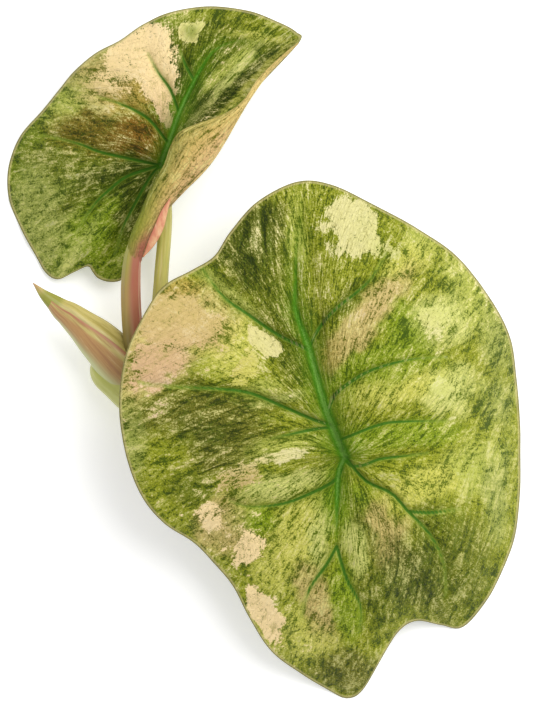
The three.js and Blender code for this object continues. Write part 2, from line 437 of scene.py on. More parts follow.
@dataclass
class Path:
    """A curve with level frames along it: a sideways axis that stays level, and one square to both."""

    waypoints: tuple[Point, ...]
    stations: int
    centre: np.ndarray = field(init=False)
    sideways: np.ndarray = field(init=False)
    upwards: np.ndarray = field(init=False)
    along: np.ndarray = field(init=False)
    shares: np.ndarray = field(init=False)
    length: float = field(init=False)

    def __post_init__(self) -> None:
        """Works out the frames from the curve's slope."""
        self.centre = smooth_curve(np.array(self.waypoints), self.stations)
        slope = np.gradient(self.centre, axis=0)
        self.along = slope / np.linalg.norm(slope, axis=1, keepdims=True)
        level = np.stack([self.along[:, 1], -self.along[:, 0], np.zeros(self.stations)], axis=1)
        self.sideways = level / np.linalg.norm(level, axis=1, keepdims=True)
        self.upwards = np.cross(self.sideways, self.along)
        self.shares = np.linspace(0.0, 1.0, self.stations)
        self.length = float(np.linalg.norm(np.diff(self.centre, axis=0), axis=1).sum())

    def section(self, angles: np.ndarray, half_width: np.ndarray, half_height: np.ndarray) -> np.ndarray:
        """Places an oval section at every station.

        A point is the centre, plus the half width times the cosine of its angle sideways, plus the
        half height times the sine upwards.

        Args:
            angles: radians, either one row for all stations or one row each.
            half_width: half widths, by station or by station and angle.
            half_height: half heights, likewise.
        Returns:
            The points, by station and angle.
        """
        angles = np.broadcast_to(angles, (self.stations, angles.shape[-1]))
        wide = half_width.reshape(self.stations, -1) * np.cos(angles)
        high = half_height.reshape(self.stations, -1) * np.sin(angles)
        return (
            self.centre[:, None]
            + wide[..., None] * self.sideways[:, None]
            + high[..., None] * self.upwards[:, None]
        )


# ------------------------------------------------------------------ finishes


class Tone(Enum):
    """The tissue colours that the leaves are splashed with."""

    OLIVE = "#949A20"
    DARK = "#485208"
    DEEP = "#68720E"
    MOSS = "#66661A"
    LEAF = "#869C16"
    MEADOW = "#7A8A20"
    MIST = "#A2A952"
    SAGE = "#B6BC52"
    BUTTER = "#CCC95A"
    LIME = "#D0D276"
    TAN = "#CDB472"
    BLUSH = "#D6B086"
    CREAM = "#E4DC98"
    FLESH = "#FCE0A6"
    GOLD = "#B89A44"
    BROWN = "#7E6A1C"
    RUST = "#8A5616"


@dataclass(frozen=True)
class VariegatedLeaf:
    """Living leaf skin, grown with patches that lack green.

    Broad tones run softly into each other. Dark green cells lie over them in marbled flecks that
    stretch along the veins, pale cells show between, and some patches have no green at all and end
    in a ragged border. The cuticle is thin, so the sheen is weak.
    """

    name: str
    dulled: float = 0.0  # how far the underside greys
    greyed: str = "#9AA56A"
    vein: str = "#46820E"
    # painted highlight: the glint along the ridge of the main veins
    vein_core: str = "#80B04C"
    vein_halo: str = "#5E8E12"
    side_vein: str = "#3F741A"
    # painted highlight: the pale edge beside each side vein, where its bank catches the light
    side_vein_highlight: str = "#96A840"
    # painted highlight: a pale line just inside the margin; rim_shadow is painted shade at the very edge
    rim_line: str = "#C9BE80"
    rim_shadow: str = "#6E6A2C"
    speck: str = "#4F5A1C"
    stroke: str = "#E6E898"
    cell_line: str = "#5C7414"
    light_cells: str = "#F0E892"
    dark_cells: str = "#7A9020"  # multiplies the tone that it darkens
    bare_light: str = "#FFF2CC"
    bare_shade: str = "#9C9440"
    # How wide a blotch of each noise is, in millimetres, from the broadest to the finest.
    broad_size: float = 9.0
    marble_size: float = 5.0
    crease_size: float = 2.8
    cell_size: float = 2.6
    fleck_size: float = 1.2
    streak_size: float = 1.2
    salt_size: float = 0.5
    # How much each noise counts towards light and dark.
    marble_weight: float = 2.3
    streak_weight: float = 2.0
    fleck_weight: float = 1.5
    salt_weight: float = 1.1
    broad_weight: float = 0.9
    crease_weight: float = -0.12
    drawn_out: float = 0.9  # how much plain place is mixed into the grain that draws out the marbling
    roughness: float = 0.4
    relief_depth: float = 0.9
    reflectance: float = 0.12

    def build(self) -> bpy.types.Material:
        """Builds the material from the blade's attributes and noise in millimetres.

        Returns:
            The finished material.
        """
        paint = Paint(self.name)
        place = paint.object_mm()
        grain = paint.attribute("grain", "Vector")
        drawn = paint.shifted(grain, place, self.drawn_out)
        noises = {
            "broad": paint.noise(place, self.broad_size, 3.0, 0.5, 0.5),
            "marble": paint.noise(drawn, self.marble_size, 6.0, 0.66, 0.9),
            "fleck": paint.noise(place, self.fleck_size, 4.0, 0.7, 0.8),
            "streak": paint.noise(grain, self.streak_size, 4.0, 0.64),
            "salt": paint.noise(place, self.salt_size, 2.0, 0.6),
            "crease": paint.noise(place, self.crease_size, 2.0, 0.5, 1.8),
        }
        cells = add_node(
            paint.tree, "ShaderNodeTexVoronoi", {"feature": "DISTANCE_TO_EDGE"},
            Vector=drawn, Scale=1.0 / self.cell_size,
        )
        net = paint.ramp(cells.outputs["Distance"], 0.09, 0.0, 0.3)
        value = self._light_and_dark(paint, noises)
        colour = self._tissue(paint, value, net)
        colour = self._marks(paint, colour, noises)
        colour = self._veins(paint, colour, noises)
        rim = paint.attribute("rim")
        # painted highlight just inside the margin, then painted shade at the very edge
        colour = paint.blend(paint.ramp(rim, 1.1, 0.5, 0.65), colour, linear(self.rim_line))
        colour = paint.blend(paint.ramp(rim, 0.4, 0.1, 0.7), colour, linear(self.rim_shadow))
        colour = paint.blend(self.dulled, colour, linear(self.greyed))
        relief = paint.weighed(noises["marble"], 0.9, paint.weighed(noises["fleck"], 0.6))
        relief = paint.weighed(net, -0.5, relief)
        return paint.finish(
            colour, self.roughness, relief, self.relief_depth, Specular_IOR_Level=self.reflectance
        )

    def _light_and_dark(self, paint: Paint, noises: dict[str, bpy.types.NodeSocket]) -> bpy.types.NodeSocket:
        """Sums the noises into one value about zero: above it cells are pale, below it dark green.

        Args:
            paint: the material under construction.
            noises: its noises by name.
        Returns:
            The value, scaled by the piece's own contrast.
        """
        crease = paint.ramp(paint.sums("ABSOLUTE", paint.centred(noises["crease"])), 0.028, 0.0)
        flow = paint.sums("MULTIPLY", paint.centred(noises["streak"]), paint.attribute("flow"))
        value = paint.weighed(paint.centred(noises["marble"]), self.marble_weight)
        value = paint.weighed(paint.centred(noises["broad"]), self.broad_weight, value)
        value = paint.weighed(paint.centred(noises["fleck"]), self.fleck_weight, value)
        value = paint.weighed(flow, self.streak_weight, value)
        value = paint.weighed(paint.centred(noises["salt"]), self.salt_weight, value)
        value = paint.weighed(crease, self.crease_weight, value)
        return paint.sums("MULTIPLY", value, paint.attribute("contrast"))

    def _tissue(
        self, paint: Paint, value: bpy.types.NodeSocket, net: bpy.types.NodeSocket
    ) -> bpy.types.NodeSocket:
        """Colours the green tissue by the value, then lays the patches without green over it.

        Args:
            paint: the material under construction.
            value: light and dark about zero.
            net: the thin lines between groups of cells.
        Returns:
            The colour.
        """
        tone = paint.attribute("tone", "Color")
        deep = paint.blend(1.0, tone, linear(self.dark_cells), "MULTIPLY")
        lit = paint.blend(0.48, tone, linear(self.light_cells))
        colour = paint.blend(paint.ramp(value, 0.02, 0.46), tone, lit)
        colour = paint.blend(paint.ramp(value, 0.0, -0.42), colour, deep)
        colour = paint.blend(net, colour, linear(self.cell_line))
        tint = paint.attribute("pale_tone", "Color")
        tint = paint.blend(paint.ramp(value, 0.05, 0.6, 0.3), tint, linear(self.bare_light))
        tint = paint.blend(paint.ramp(value, 0.0, -0.5, 0.6), tint, linear(self.bare_shade))
        border = paint.weighed(value, 0.95, paint.attribute("pale"))
        return paint.blend(paint.ramp(border, 0.34, 0.62), colour, tint)

    def _marks(
        self, paint: Paint, colour: bpy.types.NodeSocket, noises: dict[str, bpy.types.NodeSocket]
    ) -> bpy.types.NodeSocket:
        """Adds pale strokes along the fibres and small dark specks.

        Args:
            paint: the material under construction.
            colour: what they are laid on.
            noises: the material's noises by name.
        Returns:
            The colour.
        """
        strokes = paint.ramp(noises["streak"], 0.6, 0.74, 0.26)
        strokes = paint.sums("MULTIPLY", strokes, paint.attribute("flow"))
        colour = paint.blend(strokes, colour, linear(self.stroke))
        dots = paint.ramp(noises["fleck"], 0.41, 0.33, 0.75)
        dots = paint.sums("MULTIPLY", dots, paint.attribute("specks"))
        return paint.blend(dots, colour, linear(self.speck))

    def _veins(
        self, paint: Paint, colour: bpy.types.NodeSocket, noises: dict[str, bpy.types.NodeSocket]
    ) -> bpy.types.NodeSocket:
        """Greens the tissue beside the veins, then draws the side and main veins with painted highlights.

        Args:
            paint: the material under construction.
            colour: what they are laid on.
            noises: the material's noises by name.
        Returns:
            The colour.
        """
        halo = paint.ramp(noises["streak"], 0.2, 0.6, 0.85)
        halo = paint.sums("MULTIPLY", paint.attribute("halo"), halo)
        colour = paint.blend(halo, colour, linear(self.vein_halo))
        side = paint.attribute("side_vein")
        # painted highlight: pale edges on both sides of the side veins
        colour = paint.blend(paint.ramp(side, 0.02, 0.14, 0.35), colour, linear(self.side_vein_highlight))
        colour = paint.blend(paint.ramp(side, 0.16, 0.6, 0.92), colour, linear(self.side_vein))
        vein = paint.weighed(paint.centred(noises["salt"]), 0.7, paint.attribute("vein"))
        colour = paint.blend(paint.ramp(vein, 0.1, 0.75, 0.9), colour, linear(self.vein))
        # painted highlight: a glint along the main veins' ridge, broken up by fine noise
        return paint.blend(paint.ramp(vein, 0.7, 1.05, 0.7), colour, linear(self.vein_core))


@dataclass(frozen=True)
class StreakedSkin:
    """Soft young leaf or stalk skin, its colour drawn out in long streaks by its growth.

    The base runs from one side's colour to the other's, with streaks of a third along the grain,
    and the fresh skin is smooth enough for a soft highlight.
    """

    name: str
    left: str
    right: str
    streak: str
    foot: str
    edge: str = "#E8CF7C"
    bloom: str = "#F3E3B4"
    streak_share: float = 0.6
    streak_width: float = 1.2

    def build(self) -> bpy.types.Material:
        """Builds the material from the piece's side, foot, edge and grain attributes."""
        paint = Paint(self.name)
        grain = paint.attribute("grain", "Vector")
        lines = paint.noise(grain, self.streak_width, 4.0, 0.6)
        broad = paint.noise(grain, self.streak_width * 3.0, 2.0)
        side = paint.weighed(paint.centred(broad), 0.5, paint.attribute("side"))
        colour = paint.blend(paint.ramp(side, 0.25, 0.75), linear(self.left), linear(self.right))
        colour = paint.blend(paint.ramp(lines, 0.47, 0.62, self.streak_share), colour, linear(self.streak))
        colour = paint.blend(paint.ramp(lines, 0.46, 0.3, 0.3), colour, linear(self.bloom))
        colour = paint.blend(paint.attribute("foot"), colour, linear(self.foot))
        colour = paint.blend(paint.attribute("edge"), colour, linear(self.edge))
        return paint.finish(
            colour, 0.42, lines, 0.12, Specular_IOR_Level=0.45, Coat_Weight=0.08, Coat_Roughness=0.3
        )


@dataclass(frozen=True)
class CorkySkin:
    """Dry corky skin of a corm, grown in rings: matt brown with pale scars and flaking grain."""

    name: str
    light: str = "#A07C54"
    dark: str = "#4B3220"
    fibre: str = "#C4A57A"
    scar: str = "#2E1E13"

    def build(self) -> bpy.types.Material:
        """Builds the material from the ring attribute and noise in millimetres."""
        paint = Paint(self.name)
        place = paint.object_mm()
        grain = paint.attribute("grain", "Vector")
        patches = paint.noise(place, 4.0, 5.0, 0.7)
        fibres = paint.noise(grain, 0.9, 4.0, 0.7)
        colour = paint.blend(paint.ramp(patches, 0.35, 0.65), linear(self.dark), linear(self.light))
        colour = paint.blend(paint.ramp(fibres, 0.5, 0.7, 0.55), colour, linear(self.fibre))
        colour = paint.blend(paint.attribute("ring"), colour, linear(self.scar))
        relief = paint.sums("ADD", patches, fibres)
        return paint.finish(colour, 0.85, relief, 0.5, Specular_IOR_Level=0.25)


@dataclass(frozen=True)
class RootSkin:
    """Fresh root skin: pale, matt and slightly stained by soil, darker towards the tip."""

    name: str
    fresh: str = "#E2D4B2"
    stained: str = "#A98B60"
    tip: str = "#7C5F3E"

    def build(self) -> bpy.types.Material:
        """Builds the material from the foot attribute and noise in millimetres."""
        paint = Paint(self.name)
        stain = paint.noise(paint.object_mm(), 3.0, 4.0, 0.65)
        colour = paint.blend(paint.ramp(stain, 0.42, 0.66, 0.7), linear(self.fresh), linear(self.stained))
        colour = paint.blend(paint.attribute("foot"), colour, linear(self.tip))
        return paint.finish(colour, 0.7, stain, 0.25, Specular_IOR_Level=0.3)


# ------------------------------------------------------------------ broad blades


@dataclass(frozen=True)
class Vein:
    """A vein in plan, with its half width at both ends in millimetres and how deep it sinks."""

    path: tuple[tuple[float, float], ...]
    start: float
    end: float
    depth: float = 0.5
    main: bool = False
    fade: float = 0.3  # how much of it still shows at its end


@dataclass
class VeinField:
    """What the veins do at each of a blade's places, one value a place."""

    xy: np.ndarray
    main: np.ndarray = field(init=False)  # how fully a place lies on a main vein
    side: np.ndarray = field(init=False)  # and on a side vein
    pressed: np.ndarray = field(init=False)  # how deep the veins press it, in millimetres
    halo: np.ndarray = field(init=False)  # how green they turn it
    flow: np.ndarray = field(init=False)  # how close it is to a main vein, whose fibres draw out flecks
    nearest: np.ndarray = field(init=False)  # millimetres to the nearest vein
    points: int = 24  # along each vein
    thinnest: float = 0.48  # mm, the least half width that the sheet's grid can show

    def __post_init__(self) -> None:
        """Starts with no veins."""
        blank = np.zeros(len(self.xy))
        self.main = self.side = self.pressed = self.halo = self.flow = blank
        self.nearest = np.full(len(self.xy), 1e9)

    def add(self, vein: Vein) -> None:
        """Adds one vein.

        The distance to each straight stretch is taken at the nearest point on it, where the vein's
        half width is read too. Every effect falls off from there as a bell curve, and where veins
        meet, the stronger effect holds.

        Args:
            vein: the vein.
        """
        line = smooth_curve(np.array(vein.path), self.points)
        half = np.linspace(vein.start, vein.end, self.points)
        stretches = self.points - 1
        for k in range(stretches):
            step = line[k + 1] - line[k]
            t = np.clip(((self.xy - line[k]) @ step) / (step @ step), 0.0, 1.0)
            away = np.linalg.norm(self.xy - line[k] - t[:, None] * step, axis=1)
            width = np.maximum(half[k] + (half[k + 1] - half[k]) * t, self.thinnest)
            fade = 1.0 - (1.0 - vein.fade) * smoothstep(0.3, 1.0, np.array((k + 0.5) / stretches))
            shown = fade * bell(away, width)
            dent = vein.depth * fade * bell(away, 1.3 * width + 0.5)
            if vein.main:
                self.main = np.maximum(self.main, shown)
                self.halo = np.maximum(self.halo, 0.75 * fade * bell(away, 2.0 + 2.0 * width))
                self.pressed = np.maximum(self.pressed, dent)
                self.flow = np.maximum(self.flow, bell(away, 13.0))
            else:
                self.side = np.maximum(self.side, shown)
                self.halo = np.maximum(self.halo, 0.4 * fade * bell(away, 0.6 + 1.4 * width))
                self.pressed = np.maximum(self.pressed, 1.6 * dent)
            self.nearest = np.minimum(self.nearest, away)


@dataclass(frozen=True)
class Patch:
    """A splash of one tone: its middle, half sizes and turn in plan, and how strongly it shows."""

    tone: Tone
    middle: tuple[float, float]
    half: tuple[float, float]
    turn: float = 0.0  # degrees from +X to +Y
    strength: float = 1.0
    bare: bool = False  # without green, and ended by a ragged border

    def away(self, xy: np.ndarray) -> np.ndarray:
        """How far places lie from the middle, where the oval's edge is at one."""
        turn = math.radians(self.turn)
        offset = xy - np.array(self.middle)
        along = (offset[:, 0] * math.cos(turn) + offset[:, 1] * math.sin(turn)) / self.half[0]
        across = (-offset[:, 0] * math.sin(turn) + offset[:, 1] * math.cos(turn)) / self.half[1]
        return np.hypot(along, across)


def splashes(tone: Tone, *shapes: tuple[object, ...], bare: bool = False) -> tuple[Patch, ...]:
    """Makes the splashes of one tone.

    Args:
        tone: their colour.
        shapes: the middle, half sizes, turn and strength of each.
        bare: whether they lack green.
    Returns:
        The patches.
    """
    return tuple(Patch(tone, *shape, bare) for shape in shapes)


@dataclass
class Blade:
    """A broad leaf blade that spreads from the point where its stalk joins it."""

    name: str
    slot: str
    junction: Point
    crown: float  # how high the sine arch between junction and margin is
    droop: float  # the power by which it falls from junction to margin
    margin: tuple[Point, ...]  # bearing from +Y to +X in degrees, distance, height
    midrib_feet: tuple[tuple[float, float], ...]  # margin bearing, share along the midrib it is fed from
    veins: tuple[Vein, ...]
    patches: tuple[Patch, ...]
    base: Tone
    wave: float = 0.8
    seed: int = 1
    fibres: int = 520
    levels: int = 140
    under_levels: int = 30
    thickness: float = 0.6
    rim_xy: np.ndarray = field(init=False)
    rim_z: np.ndarray = field(init=False)
    rim_bearing: np.ndarray = field(init=False)

    def __post_init__(self) -> None:
        """Carries the margin through its listed points, with more fibres where the midrib feeds them."""
        ring = np.array(self.margin)
        turn = np.radians(ring[:, 0])
        x, y, _ = self.junction
        points = np.stack([x + ring[:, 1] * np.sin(turn), y + ring[:, 1] * np.cos(turn), ring[:, 2]], axis=1)
        fine = smooth_curve(points, 4000, closed=True)
        midrib = np.array(self.veins[0].path)
        midrib_length = np.linalg.norm(np.diff(midrib, axis=0), axis=1).sum()
        fed = self.fed_share(self.bearing(fine[:, :2])) * midrib_length
        step = np.linalg.norm(np.diff(fine, axis=0, append=fine[:1]), axis=1)
        step += 1.5 * np.abs(np.diff(fed, append=fed[:1]))
        place = np.cumsum(step) - step
        wanted = np.linspace(0.0, step.sum(), self.fibres, endpoint=False)
        curve = np.stack([np.interp(wanted, place, fine[:, axis]) for axis in range(3)], axis=1)
        self.rim_xy, self.rim_z = curve[:, :2], curve[:, 2]
        self.rim_bearing = self.bearing(self.rim_xy)

    def fed_share(self, bearing: np.ndarray) -> np.ndarray:
        """The share along the midrib from which the fibre towards each margin bearing is fed."""
        feet = np.array(self.midrib_feet)
        from_back = (feet[:, 0] - 180.0) % 360.0
        return np.interp((bearing - 180.0) % 360.0, from_back, feet[:, 1])

    def bearing(self, xy: np.ndarray) -> np.ndarray:
        """Degrees from +Y towards +X about the junction, from 0 to 360."""
        offset = xy - np.array(self.junction[:2])
        return np.degrees(np.arctan2(offset[..., 0], offset[..., 1])) % 360.0

    def share_out(self, xy: np.ndarray) -> tuple[np.ndarray, np.ndarray, np.ndarray]:
        """Finds how far out each place lies.

        Args:
            xy: places in plan.
        Returns:
            The share of the way to the margin along its bearing, the margin's height there and its distance.
        """
        order = np.argsort(self.rim_bearing)
        around = self.rim_bearing[order]
        reach = np.linalg.norm(self.rim_xy - self.junction[:2], axis=1)[order]
        bearing = self.bearing(xy)
        margin_reach = np.interp(bearing, around, reach, period=360.0)
        margin_height = np.interp(bearing, around, self.rim_z[order], period=360.0)
        distance = np.linalg.norm(xy - self.junction[:2], axis=-1)
        return np.clip(distance / margin_reach, 0.0, 1.0), margin_height, margin_reach

    def height(self, xy: np.ndarray) -> np.ndarray:
        """The smooth height: from junction to margin by the share out to a power, plus a sine arch."""
        share, margin_height, _ = self.share_out(xy)
        base = self.junction[2]
        return base + (margin_height - base) * share**self.droop + self.crown * np.sin(math.pi * share)

    def plan(self) -> tuple[np.ndarray, np.ndarray]:
        """Lays out the grid in plan.

        Each fibre is a quadratic curve from the junction to its margin point. Its control point lies
        on the midrib for the fibres that the midrib feeds, and straight ahead for the others, so
        the fibres leave the midrib as side veins do.

        Returns:
            The places by level and fibre, and the share along each fibre by level.
        """
        start = np.array(self.junction[:2])
        midrib = smooth_curve(np.array(self.veins[0].path), 200)
        foot = self.fed_share(self.rim_bearing)
        fed = np.stack([np.interp(foot, np.linspace(0, 1, 200), midrib[:, k]) for k in range(2)], axis=1)
        straight = start + 0.5 * (self.rim_xy - start)
        weight = smoothstep(0.0, 0.2, foot)[:, None]
        control = (1 - weight) * straight + weight * (0.75 * fed + 0.25 * straight)
        t = (np.arange(1, self.levels + 1) / self.levels)[:, None, None]
        places = (1 - t) ** 2 * start + 2 * t * (1 - t) * control + t**2 * self.rim_xy
        return places, t[:, 0, 0]

    def tones(self, xy: np.ndarray) -> dict[str, np.ndarray]:
        """Works out the splashes.

        A patch's weight falls smoothly from its middle to past its oval edge, whose distance is bent
        by cloud noise. Soft patches are averaged with the base by their weights. Bare patches are
        averaged apart, and the sum of their weights says where they cover the rest.

        Args:
            xy: places in plan, two a row.
        Returns:
            The soft colour, the bare colour, the bare share and the density of dark specks.
        """
        bend = np.stack([cloud(xy, 9.0, self.seed + k) for k in (5, 6)], axis=1)
        fine = np.stack([cloud(xy, 2.8, self.seed + k) for k in (7, 8)], axis=1)
        base = rgb(self.base.value)
        soft, soft_weight = np.tile(base * 0.3, (len(xy), 1)), np.full(len(xy), 0.3)
        bare, bare_weight = np.tile(base * 1e-3, (len(xy), 1)), np.full(len(xy), 1e-3)
        cover = np.zeros(len(xy))
        specks = np.full(len(xy), 0.25)
        for patch in self.patches:
            loose = min(1.0, max(0.25, min(patch.half) / 6.0))
            away = patch.away(xy + loose * (4.5 * bend + 2.6 * fine))
            colour = rgb(patch.tone.value)[None]
            if patch.bare:
                weight = (1.0 - smoothstep(0.5, 1.3, away)) * patch.strength
                mixed = bell(away, 1.25) * patch.strength
                bare += colour * mixed[:, None]
                bare_weight += mixed
                cover = np.maximum(cover, weight)
                specks += 0.6 * weight
            else:
                weight = np.exp(-(away**3)) * patch.strength * 1.8
                soft += colour * weight[:, None]
                soft_weight += weight
        return {
            "tone": soft / soft_weight[:, None],
            "pale_tone": bare / bare_weight[:, None],
            "pale": cover,
            "specks": np.clip(specks, 0.0, 1.0),
        }

    def _close(self, top: np.ndarray) -> tuple[np.ndarray, np.ndarray]:
        """Closes the sheet: a rounded rim pushed out by a third of the wall, then a coarser underside.

        Args:
            top: the upper rings from the junction out.
        Returns:
            All rings in order, and for each the upper ring whose attributes it shares.
        """
        wall = np.array([0.0, 0.0, self.thickness])
        back = np.linspace(self.levels - 1, 0, self.under_levels).astype(int)
        outward = top[-1] - top[-2]
        outward[:, 2] = 0.0
        outward /= np.linalg.norm(outward, axis=1, keepdims=True) + 1e-9
        rim = top[-1] + 0.33 * self.thickness * outward - wall / 2
        rings = np.concatenate([top, rim[None], top[back] - wall])
        rings[..., 2] = np.maximum(rings[..., 2], FLOOR)
        return rings, np.concatenate([np.arange(self.levels), [self.levels - 1], back])

    def build(self, upper: bpy.types.Material, under: bpy.types.Material) -> None:
        """Makes the blade and gives it its finishes.

        The smooth sheet is pressed down along the veins, swells between them, bears small bumps of
        cloud noise and ends in a margin whose height waves as a sine of the bearing.

        Args:
            upper: the finish of the upper side.
            under: the finish of the underside.
        """
        places, levels = self.plan()
        shape = places.shape[:2]
        xy = places.reshape(-1, 2)
        veins = VeinField(xy)
        for vein in self.veins:
            veins.add(vein)
        share, _, reach = self.share_out(xy)
        ripple = cloud(xy, 14.0, self.seed + 20, 2)
        swell = 2.1 * (1 - np.exp(-veins.nearest / 3.8)) * (1 - share**6)
        wave = self.wave * share**5 * np.sin(np.radians(self.bearing(xy)) * 9.0 + 3.0 * ripple)
        bumps = 0.3 * cloud(xy, 5.0, self.seed + 21) + 0.1 * cloud(xy, 1.8, self.seed + 22)
        z = self.height(xy) - veins.pressed + swell + 0.5 * ripple * share + wave + bumps * (1 - share**8)
        z = np.maximum(z, self.thickness + 0.1)
        rings, order = self._close(np.concatenate([places, z.reshape(*shape, 1)], axis=-1))
        surface = Surface(
            self.name, rings, first_pole=rings[0].mean(axis=0), last_pole=rings[-1].mean(axis=0),
            under_from=self.levels,
        )
        values = self.tones(xy)
        values["pale"] = values["pale"] - 0.5 * np.maximum(veins.main, veins.side)
        values |= {
            "vein": veins.main,
            "side_vein": veins.side,
            "halo": veins.halo,
            "flow": 0.5 + 0.5 * veins.flow,
            "contrast": 1.0 - 0.3 * np.clip(values["pale"], 0, 1),
            "rim": (1.0 - share) * reach,
            "grain": self._grain(levels, float(reach.mean())),
        }
        surface.values = {key: value.reshape(*shape, -1)[order] for key, value in values.items()}
        dress(surface.build(), self.slot, (self.name,), upper, under)

    def _grain(self, levels: np.ndarray, radius: float) -> np.ndarray:
        """Coordinates for streaks: the place round the margin, and the way out shrunk to a sixth."""
        around = full_circle(self.fibres)
        circle = radius * np.cos(around)[None], radius * np.sin(around)[None]
        return np.stack(np.broadcast_arrays(*circle, (levels * radius * 0.16)[:, None]), axis=-1)


